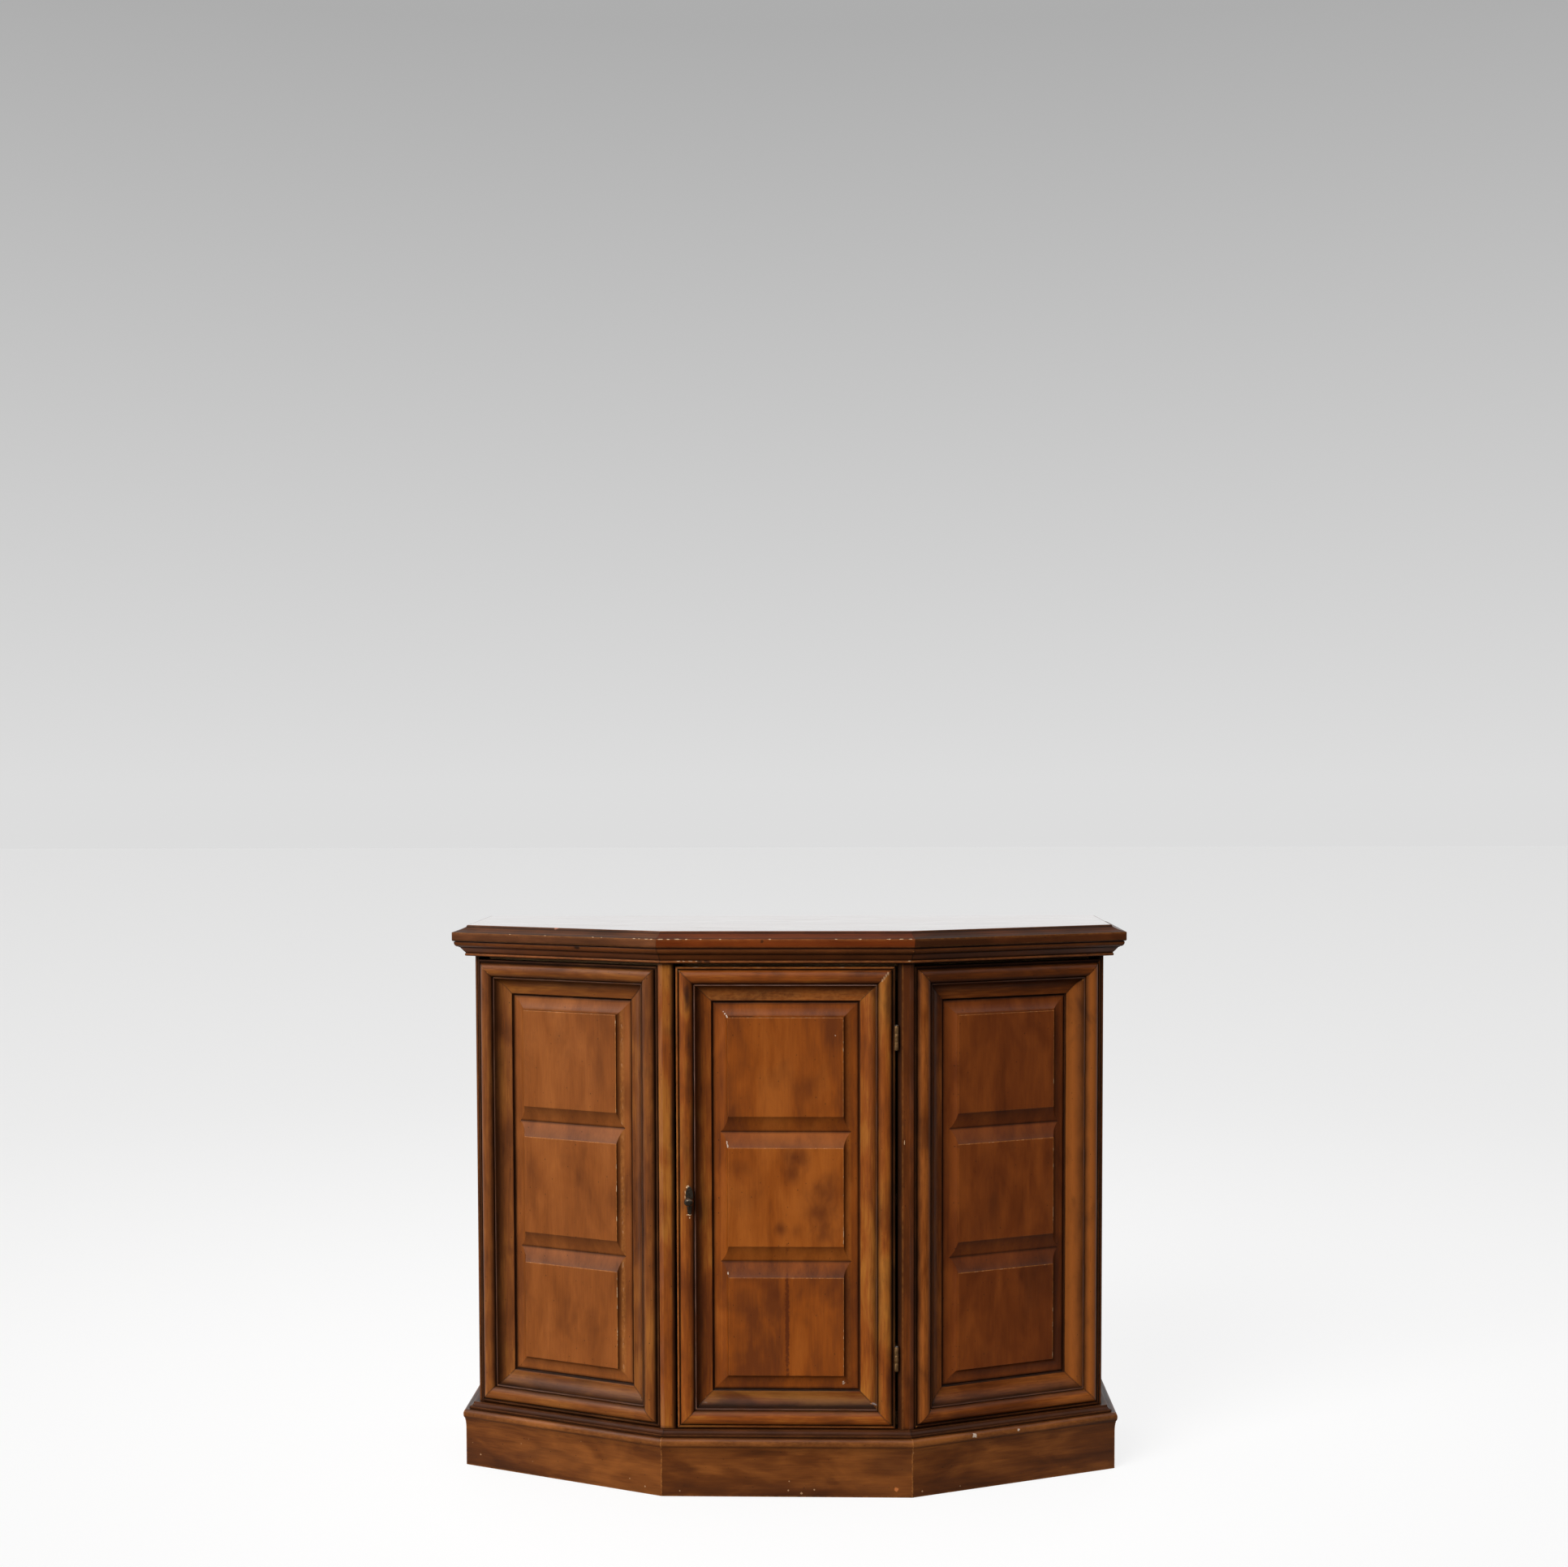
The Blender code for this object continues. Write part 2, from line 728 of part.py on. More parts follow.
def headers(material):
    """The three headers that tie the posts together and stop the door."""

    def front_header_line(deep):
        return [front_corner(s, FRONT_INSIDE + deep, CANTED_INSIDE + deep) for s in (-1, 1)]

    def canted_header_line(side):
        return lambda deep: (
            front_corner(side, FRONT_INSIDE + deep, CANTED_INSIDE + deep),
            end_corner(side, CANTED_INSIDE + deep, END_INSIDE),
        )

    header("header_front", front_header_line, material)
    header("header_left_canted", canted_header_line(-1), material)
    header("header_right_canted", canted_header_line(1), material)


def case_inside(material, back_material):
    """Floor, shelf, back and the two rails along the wall."""
    floor = outline(FRONT_INSIDE, CANTED_INSIDE, END_INSIDE, BACK_FRONT_Y - CLEAR)
    plate("case_floor", floor, CASE_BOTTOM, CASE_BOTTOM + FLOOR_THICK, material)
    shelf = outline(
        SHELF_FRONT_INSET,
        CANTED_INSIDE + SHELF_SIDE_CLEAR,
        END_INSIDE + SHELF_SIDE_CLEAR,
        BACK_FRONT_Y - SHELF_SIDE_CLEAR,
    )
    plate("shelf", shelf, SHELF_HEIGHT, SHELF_HEIGHT + SHELF_THICK, material)
    back_half = PLINTH_HALF - END_INSIDE
    box(
        "back_panel",
        (-back_half, BACK_FRONT_Y, CASE_BOTTOM),
        (back_half, WALL_Y - BACK_SET, CASE_TOP),
        back_material,
    )
    plinth_half = PLINTH_HALF - PLINTH_THICK - CLEAR
    box(
        "plinth_back",
        (-plinth_half, WALL_Y - RAIL_THICK, 0.0),
        (plinth_half, WALL_Y - MITRE_CLEAR, PLINTH_HEIGHT),
        back_material,
    )
    cornice_half = PLINTH_HALF - CORNICE_WIDTH - CLEAR
    box(
        "cornice_back",
        (-cornice_half, WALL_Y - RAIL_THICK, CORNICE_BOTTOM),
        (cornice_half, WALL_Y - MITRE_CLEAR, TOP_UNDERSIDE - CLEAR),
        back_material,
    )


def hinge_leaf(name, bottom, side, thirds, material, parent=None):
    """One leaf of a butt hinge with its knuckles. Side -1 is the door's, 1 the post's."""
    leaf_thick = (HINGE_GAP - 3 * CLEAR) / 2
    inner = HINGE_X + side * CLEAR / 2
    outer = inner + side * leaf_thick
    leaf_y = HINGE_Y + KNUCKLE_RADIUS + 2 * CLEAR
    low_x, high_x = min(inner, outer), max(inner, outer)
    leaf = box(
        name,
        (low_x, leaf_y, bottom),
        (high_x, HINGE_Y + LEAF_DEPTH, bottom + HINGE_HEIGHT),
        material,
        parent,
    )
    third = HINGE_HEIGHT / 3
    for k in thirds:
        low = bottom + k * third + CLEAR / 2
        high = bottom + (k + 1) * third - CLEAR / 2
        web = box(
            f"{name}_web_{k}",
            (low_x, HINGE_Y + PIN_SHAFT_RADIUS, low),
            (high_x, leaf_y + CLEAR, high),
            material,
            parent,
        )
        knuckle = bar(
            f"{name}_knuckle_{k}",
            KNUCKLE_RADIUS,
            (HINGE_X, HINGE_Y, low),
            (HINGE_X, HINGE_Y, high),
            material,
            parent,
        )
        combine(leaf, web, "UNION")
        combine(leaf, knuckle, "UNION")
    bore = bar(
        f"{name}_bore",
        PIN_SHAFT_RADIUS + CLEAR,
        (HINGE_X, HINGE_Y, bottom - CLEAR),
        (HINGE_X, HINGE_Y, bottom + HINGE_HEIGHT + CLEAR),
        material,
        parent,
    )
    combine(leaf, bore, "DIFFERENCE")


def hinge_pin(name, bottom, material):
    """A hinge pin with a head that rests over the top knuckle."""
    top = bottom + HINGE_HEIGHT
    profile = [
        (PIN_SHAFT_RADIUS, bottom),
        (PIN_SHAFT_RADIUS, top + CLEAR),
        (PIN_HEAD_RADIUS, top + CLEAR),
        *arc(
            (0.0, top + CLEAR + PIN_HEAD_HEIGHT / 2),
            (PIN_HEAD_RADIUS, PIN_HEAD_HEIGHT / 2),
            0,
            60,
            NOSE_STEPS,
        ),
    ]
    rings = []
    for radius, z in profile:
        circle = arc((HINGE_X, HINGE_Y), (radius, radius), 0, 360, ROUND_STEPS)[:-1]
        rings.append([(x, y, z) for x, y in circle])
    stack(name, rings, material, smooth_angle=SMOOTH_ANGLE)


def hinges(material, pin_material, door_pivot):
    """The two butt hinges: door leaf, post leaf and pin of each."""
    bottoms = {
        "lower": DOOR_BOTTOM + HINGE_EDGE,
        "upper": DOOR_TOP - HINGE_EDGE - HINGE_HEIGHT,
    }
    for word, bottom in bottoms.items():
        hinge_leaf(f"{word}_hinge_door_leaf", bottom, -1, (1,), material, door_pivot)
        hinge_leaf(f"{word}_hinge_post_leaf", bottom, 1, (0, 2), material)
        hinge_pin(f"{word}_hinge_pin", bottom, pin_material)


def knob_plate(material, parent):
    """The long back plate with pointed ends, flat on top of the torus."""
    half, tall = PLATE_WIDTH / 2, PLATE_HEIGHT / 2
    shoulder = tall - PLATE_POINT
    edge = [(half, -shoulder), (half, shoulder), (half / 2, tall - PLATE_POINT / 3), (0.0, tall)]
    edge += [(-half / 2, tall - PLATE_POINT / 3), (-half, shoulder), (-half, -shoulder)]
    edge += [(-half / 2, PLATE_POINT / 3 - tall), (0.0, -tall), (half / 2, PLATE_POINT / 3 - tall)]
    rings = []
    back_y = LIP_Y - TORUS_HEIGHT - CLEAR
    for y in (back_y, back_y - PLATE_THICK):
        rings.append([(KNOB_X + x, y, KNOB_HEIGHT + z) for x, z in edge])
    stack("knob_plate", rings, material, parent)


def knob(material, parent):
    """The small oval knob on a short neck."""
    start = TORUS_HEIGHT + 2 * CLEAR + PLATE_THICK
    ovals = [
        (KNOB_FOOT_WIDTH, KNOB_FOOT_TALL, start),
        (KNOB_NECK_WIDTH, KNOB_NECK_TALL, start + KNOB_NECK_START),
        (KNOB_NECK_WIDTH, KNOB_NECK_TALL, start + KNOB_NECK_END),
    ]
    middle = start + KNOB_REACH - KNOB_HEAD_HALF
    for across, along in arc((0, 0), (1.0, 1.0), KNOB_HEAD_FROM, KNOB_HEAD_TO, TORUS_STEPS):
        ovals.append((KNOB_WIDTH * across, KNOB_TALL * across, middle + KNOB_HEAD_HALF * along))
    rings = []
    for width, tall, height in ovals:
        oval = arc((0, 0), (width / 2, tall / 2), 0, 360, ROUND_STEPS)[:-1]
        rings.append([(KNOB_X + x, LIP_Y - height, KNOB_HEIGHT + z) for x, z in oval])
    stack("knob", rings, material, parent, smooth_angle=SMOOTH_ANGLE)


def catch(housing_material, strike_material, door_pivot):
    """A magnetic catch under the front header and its strike on the door."""
    top = HEADER_BOTTOM - CLEAR
    strike_y = FACE_Y + FRAME_BACK_INSET + CLEAR
    box(
        "catch_strike",
        (CATCH_X - CATCH_WIDTH / 2 + STRIKE_MARGIN, strike_y, top - CATCH_HEIGHT + STRIKE_MARGIN),
        (CATCH_X + CATCH_WIDTH / 2 - STRIKE_MARGIN, strike_y + STRIKE_THICK, top - STRIKE_MARGIN),
        strike_material,
        door_pivot,
    )
    front_y = strike_y + STRIKE_THICK + CLEAR
    box(
        "catch_housing",
        (CATCH_X - CATCH_WIDTH / 2, front_y, top - CATCH_HEIGHT),
        (CATCH_X + CATCH_WIDTH / 2, front_y + CATCH_DEPTH, top),
        housing_material,
    )


def main():
    clear_scene()
    finish = make_material("brown_finish", (0.19, 0.075, 0.022), 0.35)
    inside = make_material("inside_wood", (0.22, 0.12, 0.055), 0.6)
    brass = make_material("aged_brass", (0.42, 0.27, 0.09), 0.4, 1.0)
    bronze = make_material("dark_bronze", (0.05, 0.038, 0.03), 0.4, 0.9)
    steel = make_material("steel", (0.45, 0.45, 0.45), 0.35, 1.0)
    housing = make_material("brown_plastic", (0.06, 0.035, 0.02), 0.5)

    top_board(finish)
    mouldings_round("cornice", cornice_section(), finish)
    mouldings_round("base_cap", cap_section(), finish)
    mouldings_round("plinth", plinth_section(), finish)
    headers(inside)
    case_inside(inside, inside)
    shelf_pins(steel)
    for side, word in ((-1, "left"), (1, "right")):
        corner_post(side, word, finish)
        end_post(side, word, finish)
        end_panel(side, word, finish)
        place = canted_place(side)
        panelled_frame(f"{word}_canted", ("inner", "outer"), place, CANTED_WIDTH, finish)

    pivot = bpy.data.objects.new("door_pivot", None)
    pivot.location = (HINGE_X, HINGE_Y, FRAME_MIDDLE)
    bpy.context.collection.objects.link(pivot)
    bpy.context.view_layer.update()
    panelled_frame("door", ("knob", "hinge"), front_place, DOOR_WIDTH, finish, pivot)
    hinges(brass, steel, pivot)
    knob_plate(bronze, pivot)
    knob(bronze, pivot)
    catch(housing, steel, pivot)


main()
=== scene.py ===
"""Looks for the console cabinet: moulded, glazed and worn wood with painted shade and sheen, aged hardware,
a pale studio.

Metres, +Z up, the front faces -Y. An inset is how far a line lies behind the plinth's face.
Sections and marks are written in millimetres. A row of a frame member's section starts with
(distance in from its outer edge, height over its lip), and a row of a moulding's with
(inset, height). Each row goes on with glaze, which also paints shade into gaps, hollows and
flanks away from the light, then wear, which below zero paints a sheen, and the corner's
radius, and leaves out zeros at its end.
"""

import math

import bmesh
import bpy
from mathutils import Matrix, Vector

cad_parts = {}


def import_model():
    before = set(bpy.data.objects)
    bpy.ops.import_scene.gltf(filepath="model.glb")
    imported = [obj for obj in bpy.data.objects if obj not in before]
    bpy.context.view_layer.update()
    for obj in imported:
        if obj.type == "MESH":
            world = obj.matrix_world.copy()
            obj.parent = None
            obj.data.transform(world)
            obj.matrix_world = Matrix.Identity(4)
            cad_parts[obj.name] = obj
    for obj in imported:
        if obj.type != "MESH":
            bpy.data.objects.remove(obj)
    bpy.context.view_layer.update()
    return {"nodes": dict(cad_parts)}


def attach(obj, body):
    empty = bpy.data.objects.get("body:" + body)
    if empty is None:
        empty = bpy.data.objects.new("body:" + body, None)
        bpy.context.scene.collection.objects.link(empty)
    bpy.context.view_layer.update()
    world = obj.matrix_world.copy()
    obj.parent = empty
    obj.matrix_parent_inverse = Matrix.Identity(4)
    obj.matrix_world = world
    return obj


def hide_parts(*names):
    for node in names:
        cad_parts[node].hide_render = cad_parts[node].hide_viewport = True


MM = 0.001
RIGHT = Vector((1, 0, 0))
BACK = Vector((0, 1, 0))
UP = Vector((0, 0, 1))

# Plan of the cabinet, from the same sizes as the solids
PLINTH_HALF = 0.4455
HALF_BOARD = 0.011
FRONT_HALF = 0.1652
CANT_DEPTH = 0.126
FACE_Y = -0.1585
WALL_Y = 0.170
BODY_INSET = 0.0172
LIP_INSET = 0.014
HEIGHT = 0.746
TOP_UNDERSIDE = 0.7248
CORNICE_BOTTOM = 0.7040
CAP_TOP = 0.0863
PLINTH_TOP = 0.0774
DOOR_BOTTOM = 0.0882
DOOR_TOP = 0.6987
FRAME_WIDTH = 0.046
FRAME_BACK = 0.020
POST_HALF = 0.1462
DOOR_LEFT = -0.1442
DOOR_RIGHT = 0.1426
POST_SHOW = 0.0067
TOP_EDGING = 8.9 * MM
TOP_FIELD_DROP = 0.00003
END_POST_DEPTH = 24 * MM
END_POST_THICK = 18 * MM
POST_END = 0.004
CLEAR = 0.0003
HAIR = 0.0001

# Raised panels: the bevel round the fields, and the grooves between them
BEVEL = 0.0212
RAISE = 0.0081
VALLEY = 0.0413
VALLEY_SHARE = 0.85
FIELD_UNDER_LIP = 0.0154
PANEL_TONGUE = 0.0077
PANEL_BACK = 0.0043

# Glaze with painted shade, and wear, on a panel's four sides: none, or full
NONE = (0.0,) * 4
FULL = (1.0,) * 4

# Hardware
HINGE_X = 0.1444
HINGE_Y = -0.1469
HINGE_TALL = 0.032
HINGE_INSET = 0.0771
LEAF_WIDE = (1.4 * MM, 20 * MM)
LEAF_GAP = 0.00015
LEAF_THICK = 0.00135
SCREW_FACE = 0.00013
KNOB_X = -0.127
KNOB_Z = 0.3922
PLATE_LIFT = 5.6 * MM
PLATE_THICK = 1.2 * MM
NAIL_RISE = 13.8 * MM

CANT = math.atan2(CANT_DEPTH, PLINTH_HALF - FRONT_HALF)
CANT_LENGTH = math.hypot(CANT_DEPTH, PLINTH_HALF - FRONT_HALF)
CANTED_START = BODY_INSET * math.tan(CANT / 2) + POST_SHOW
CANTED_END = CANT_LENGTH - BODY_INSET * math.tan(math.pi / 4 - CANT / 2) - POST_SHOW
FRAME_HEIGHT = DOOR_TOP - DOOR_BOTTOM
FRAME_MIDDLE = (DOOR_TOP + DOOR_BOTTOM) / 2
LIP_Y = FACE_Y + LIP_INSET

# Levels that a colour is written for, as linear light
GOLD = (0.36, 0.128, 0.019)
ORANGE = (0.24, 0.060, 0.008)
BROWN = (0.125, 0.030, 0.006)
# Dark glaze, and the colour of painted shade in gaps, hollows and shaded flanks
GLAZE_AND_SHADE = (0.012, 0.0050, 0.0026)
SOOT = (0.045, 0.013, 0.005)
# A painted sheen: highlights on fillets, post corners and edges
PAINTED_SHEEN = (0.27, 0.150, 0.115)
RUBBED = (0.48, 0.185, 0.045)
BARE = (0.72, 0.50, 0.30)
DULL_WHITE = (0.62, 0.52, 0.42)
CHIP = (0.50, 0.30, 0.16)
PINK = (0.42, 0.16, 0.10)
# A painted highlight for the hollows' lower mitres
PAINTED_MITRE_HIGHLIGHT = (0.27, 0.25, 0.25)
STAIN = (0.085, 0.018, 0.004)
FRESH_KNOCK = (0.50, 0.16, 0.045)

# Studio
FLOOR_HALF = 14.0
FLOOR_SHARE = 0.18
FLOOR_GLOW = 0.82
HORIZON = 0.724
KEY_STRENGTH = 2.45
KEY_TOWARD = Vector((0.52, 0.72, -0.36))
SOFTBOX = Vector((-0.46, -0.64, 0.62)).normalized()
SOFTBOX_LEVEL = 3.6
CAMERA_PLACE = (0.0739, -2.9001, 0.9387)
CAMERA_TURN = (90 - 2.985, 0.155, 1.570)
CAMERA_LENS = 48.647
CAMERA_SHIFT = 0.07

# A plinth chip's radius, as a share of the size in its row
CHIP_SHARE = 0.65

# A swept member: its parts along the length, and the angle in degrees past which an edge is sharp
MEMBER_PARTS = 14
MEMBER_SHARP = 32


class Nodes:
    """Builds the node tree of one material or of the world."""

    def __init__(self, owner, shader="Principled BSDF"):
        self.owner = owner
        owner.use_nodes = True
        self.tree = owner.node_tree
        self.shader = self.tree.nodes[shader]

    def put(self, kind, inputs=None, **settings):
        node = self.tree.nodes.new("ShaderNode" + kind)
        for key, value in settings.items():
            setattr(node, key, value)
        for key, value in (inputs or {}).items():
            self.set(node, key, value)
        return node

    def set(self, node, key, value):
        if isinstance(value, bpy.types.NodeSocket):
            self.tree.links.new(value, node.inputs[key])
        else:
            node.inputs[key].default_value = value

    def finish(self, inputs):
        """Sets the shader's own sockets."""
        for key, value in inputs.items():
            self.set(self.shader, key, value)

    def math(self, operation, *values, clamp=False):
        inputs = dict(enumerate(values))
        return self.put("Math", inputs, operation=operation, use_clamp=clamp).outputs[0]

    def add(self, first, second):
        return self.math("ADD", first, second)

    def times(self, first, second):
        return self.math("MULTIPLY", first, second)

    def vector(self, operation, *values):
        node = self.put("VectorMath", dict(enumerate(values)), operation=operation)
        return node.outputs["Value" if operation in ("LENGTH", "DOT_PRODUCT") else "Vector"]

    def fit(self, value, low, high, to_low=0.0, to_high=1.0, smooth=False):
        kind = "SMOOTHSTEP" if smooth else "LINEAR"
        inputs = {"Value": value, "From Min": low, "From Max": high, "To Min": to_low, "To Max": to_high}
        return self.put("MapRange", inputs, interpolation_type=kind).outputs[0]

    def attribute(self, name, output="Fac"):
        return self.put("Attribute", attribute_name=name).outputs[output]

    def place(self):
        """Where a point lies in its own object."""
        return self.put("TexCoord").outputs["Object"]

    def from_camera(self):
        """One for what the camera sees directly, and zero for light and reflections."""
        return self.put("LightPath").outputs["Is Camera Ray"]

    def mix(self, factor, first, second):
        """A colour between two."""
        node = self.put("Mix", data_type="RGBA")
        for index, value in ((0, factor), (6, first), (7, second)):
            self.set(node, index, (*value, 1.0) if isinstance(value, tuple) else value)
        return node.outputs[2]

    def between(self, factor, first, second):
        """A number between two."""
        return self.put("Mix", {0: factor, 2: first, 3: second}, data_type="FLOAT").outputs[0]

    def noise(self, vector, scale, detail=2.0, rough=0.5, distortion=0.0):
        inputs = {
            "Vector": self.vector("MULTIPLY", vector, scale),
            "Scale": 1.0,
            "Detail": detail,
            "Roughness": rough,
            "Distortion": distortion,
        }
        return self.put("TexNoise", inputs).outputs[0]

    def separate(self, vector):
        return self.put("SeparateXYZ", {0: vector}).outputs

    def bump(self, height, strength, distance):
        inputs = {"Strength": strength, "Distance": distance, "Height": height}
        return self.put("Bump", inputs).outputs[0]


def figured_colour(n, grain, tone, colours, figured, streaked, stained):
    """The wood's own colour, from broad figure down to streaks, with its blotches and streaks."""
    light, middle, dark = colours
    figure = n.noise(grain, (10.0, 3.4, 10.0), 2.0, 0.5, 0.9)
    blotch = n.noise(grain, (27.0, 10.0, 27.0), 3.0, 0.55, 0.7)
    flame = n.noise(grain, (85.0, 10.0, 85.0), 3.0, 0.6, 0.3)
    streak = n.noise(grain, (480.0, 26.0, 480.0), 3.0, 0.62)
    layers = ((figure, 0.62), (blotch, 0.62 * figured), (flame, 0.24 * figured), (streak, streaked))
    level = tone
    for layer, share in layers:
        level = n.math("MULTIPLY_ADD", layer, share, level)
    centre = sum(share for _, share in layers) / 2
    shade = n.fit(level, centre - 0.21, centre + 0.19)
    colour = n.mix(n.fit(shade, 0.0, 0.5), dark, middle)
    colour = n.mix(n.fit(shade, 0.5, 1.0), colour, light)
    if stained:
        soot = n.noise(grain, (19.0, 8.5, 19.0), 4.0, 0.6, 0.6)
        colour = n.mix(n.times(n.fit(soot, 0.50, 0.72, smooth=True), stained), colour, SOOT)
    return colour, blotch, streak


def specked_colour(n, grain, colour, specks):
    """Adds pores and small dark specks of glaze, and returns the pores as well.

    The specks lie in a plane, so out is taken from across: a board's face and its edge then
    both cut them to dots.
    """
    pores = n.noise(grain, (1500.0, 70.0, 1500.0), 2.0, 0.6)
    colour = n.mix(n.times(n.fit(pores, 0.60, 0.72), 0.22), colour, GLAZE_AND_SHADE)
    across, along, out = n.separate(grain)
    flat = {0: n.times(n.math("SUBTRACT", across, out), 1.25), 1: n.times(along, 0.8)}
    inputs = {"Vector": n.put("CombineXYZ", flat).outputs[0], "Scale": 66.0}
    cells = n.put("TexVoronoi", inputs, voronoi_dimensions="2D").outputs
    size = n.fit(n.separate(cells["Color"])[0], 0.45, 1.0, 0.01, 0.066)
    speck = n.fit(n.math("SUBTRACT", size, cells["Distance"]), 0.0, 0.030)
    return n.mix(n.times(speck, 0.8 * specks), colour, GLAZE_AND_SHADE), pores


def glazed_colour(n, grain, colour, mitre):
    """Adds glaze and painted shade in the quirks, gaps and hollows, lines at the mitres, rubbed and flaked
    places, and a painted sheen.
    """
    glaze_and_shade = n.attribute("glaze_and_shade")
    wear_and_sheen = n.attribute("wear_and_sheen")
    cloud = n.noise(grain, (38.0, 16.0, 38.0), 3.0, 0.6, 0.4)
    drift = n.fit(cloud, 0.35, 0.65, -0.08, 0.08)
    mask = n.math("MULTIPLY_ADD", drift, n.fit(glaze_and_shade, 0.0, 0.25), glaze_and_shade, clamp=True)
    mask = n.math("POWER", mask, 0.85)
    # The mask darkens glaze in the quirks, and it paints shade into gaps, hollows and flanks away from the
    # light.
    colour = n.mix(n.times(mask, 0.97), colour, GLAZE_AND_SHADE)
    ends = n.separate(n.attribute("ends", "Vector"))
    nearest = n.math("MINIMUM", ends[0], ends[1])
    ragged = n.noise(grain, (300.0, 150.0, 300.0), 2.0, 0.6)
    if mitre == "dark":
        colour = n.mix(n.fit(nearest, 0.0, 0.0016, 0.62, 0.0), colour, GLAZE_AND_SHADE)
        near = n.fit(nearest, 0.0008, 0.0026, 1.0, 0.0)
        chip = n.times(near, n.fit(ragged, 0.64, 0.68))
        colour = n.mix(n.times(chip, 0.6), colour, RUBBED)
    if mitre == "rubbed":
        line = n.fit(nearest, 0.0003, 0.0012, 0.6, 0.0)
        colour = n.mix(n.times(line, n.fit(ragged, 0.38, 0.62)), colour, RUBBED)
    rub = n.times(n.fit(wear_and_sheen, 0.0, 1.0), n.fit(ragged, 0.38, 0.64, 0.22, 0.80))
    colour = n.mix(rub, colour, RUBBED)
    # Values below zero paint a mauve sheen, a painted highlight.
    sheen = n.times(n.fit(wear_and_sheen, 0.0, -1.0), n.fit(cloud, 0.38, 0.58, 0.25, 1.0))
    colour = n.mix(sheen, colour, PAINTED_SHEEN)
    flakes = n.noise(grain, (330.0, 110.0, 330.0), 2.0, 0.5)
    flake = n.times(n.fit(wear_and_sheen, 0.45, 0.8), n.fit(flakes, 0.60, 0.63))
    return n.mix(n.times(flake, 0.85), colour, BARE), mask


def marked_colour(n, colour, marks):
    """Adds each mark of (spot, radii, paint, strength, soft), with a ragged or cloudy edge."""
    place = n.place()
    ragged_edge = n.noise(place, (420.0, 420.0, 420.0), 2.0, 0.6)
    cloudy_edge = n.noise(place, (90.0, 90.0, 42.0), 3.0, 0.55, 0.5)
    for spot, radii, paint, strength, soft in marks:
        shares = tuple(1 / radius for radius in radii)
        far = n.vector("LENGTH", n.vector("MULTIPLY", n.vector("SUBTRACT", place, spot), shares))
        edge = n.times(cloudy_edge if soft > 0.4 else ragged_edge, 2.0 - soft * 0.9)
        reach = 0.12 + 0.6 * soft
        cover = n.fit(n.math("SUBTRACT", edge, far), -reach, reach, smooth=True)
        colour = n.mix(n.times(cover, strength), colour, paint)
    return colour


def wood(
    name,
    light=GOLD,
    middle=ORANGE,
    dark=BROWN,
    *,
    roughness=0.32,
    specks=1.0,
    mitre="dark",
    swap=None,
    marks=(),
    coat=0.0,
    figured=1.0,
    shine=0.42,
    stained=0.0,
    streaked=0.24,
):
    """Lacquered wood with figure, streaks, specks, glaze and painted shade in its quirks and hollows, rubbed
    edges and a painted sheen.

    The mesh gives grain (across, along, out), ends, glaze with painted shade, wear and tone.
    Wear above zero is rubbed wood, and below zero a painted sheen. With swap, a plain board's
    own coordinates are the grain, in that order.
    """
    n = Nodes(bpy.data.materials.new(name))
    if swap:
        own = n.separate(n.place())
        parts = {i: own["XYZ".index(letter)] for i, letter in enumerate(swap)}
        grain = n.put("CombineXYZ", parts).outputs[0]
    else:
        grain = n.attribute("grain", "Vector")
    tone = 0.0 if swap else n.attribute("tone")
    colours = (light, middle, dark)
    colour, blotch, streak = figured_colour(n, grain, tone, colours, figured, streaked, stained)
    colour, pores = specked_colour(n, grain, colour, specks)
    rough = n.fit(blotch, 0.3, 0.7, roughness - 0.04, roughness + 0.06)
    height = n.math("MULTIPLY_ADD", pores, 0.5, n.times(streak, 0.5))
    gloss = shine
    if not swap:
        colour, mask = glazed_colour(n, grain, colour, mitre)
        rough = n.math("MULTIPLY_ADD", mask, 0.05, rough)
        gloss = n.fit(mask, 0.0, 1.0, shine, shine * 0.45)
    if marks:
        colour = marked_colour(n, colour, marks)
    n.finish({
        "Base Color": colour,
        "Roughness": rough,
        "Specular IOR Level": gloss,
        "Coat Weight": coat,
        "Coat Roughness": 0.06,
        "Normal": n.bump(height, 0.10, 0.00012),
    })
    return n.owner


def metal(name, base, worn_colour, roughness, wear=0.6, metallic=1.0):
    """Aged metal with a mottled surface, darker in patches and bright where it is rubbed."""
    n = Nodes(bpy.data.materials.new(name))
    place = n.place()
    patches = n.noise(place, (260.0, 260.0, 260.0), 4.0, 0.6, 0.4)
    fine = n.noise(place, (1900.0, 1900.0, 1900.0), 2.0, 0.5)
    colour = n.mix(n.fit(patches, 0.38, 0.66), base, worn_colour)
    colour = n.mix(n.times(n.fit(fine, 0.55, 0.75), wear * 0.5), colour, GLAZE_AND_SHADE)
    n.finish({
        "Base Color": colour,
        "Metallic": metallic,
        "Roughness": n.fit(patches, 0.3, 0.7, roughness + 0.1, roughness - 0.06),
        "Normal": n.bump(fine, 0.25, 0.0001),
    })
    return n.owner


def front_corner(side, front, cant):
    """Where a line along the front meets a line along one canted side."""
    across = (math.cos(CANT) * front - cant) / math.sin(CANT)
    return Vector((side * (FRONT_HALF + across), FACE_Y + front))


def end_corner(side, cant, end):
    """Where a line along one canted side meets a line along that end."""
    x = PLINTH_HALF - end
    back = (math.sin(CANT) * (x - FRONT_HALF) + cant) / math.cos(CANT)
    return Vector((side * x, FACE_Y + back))


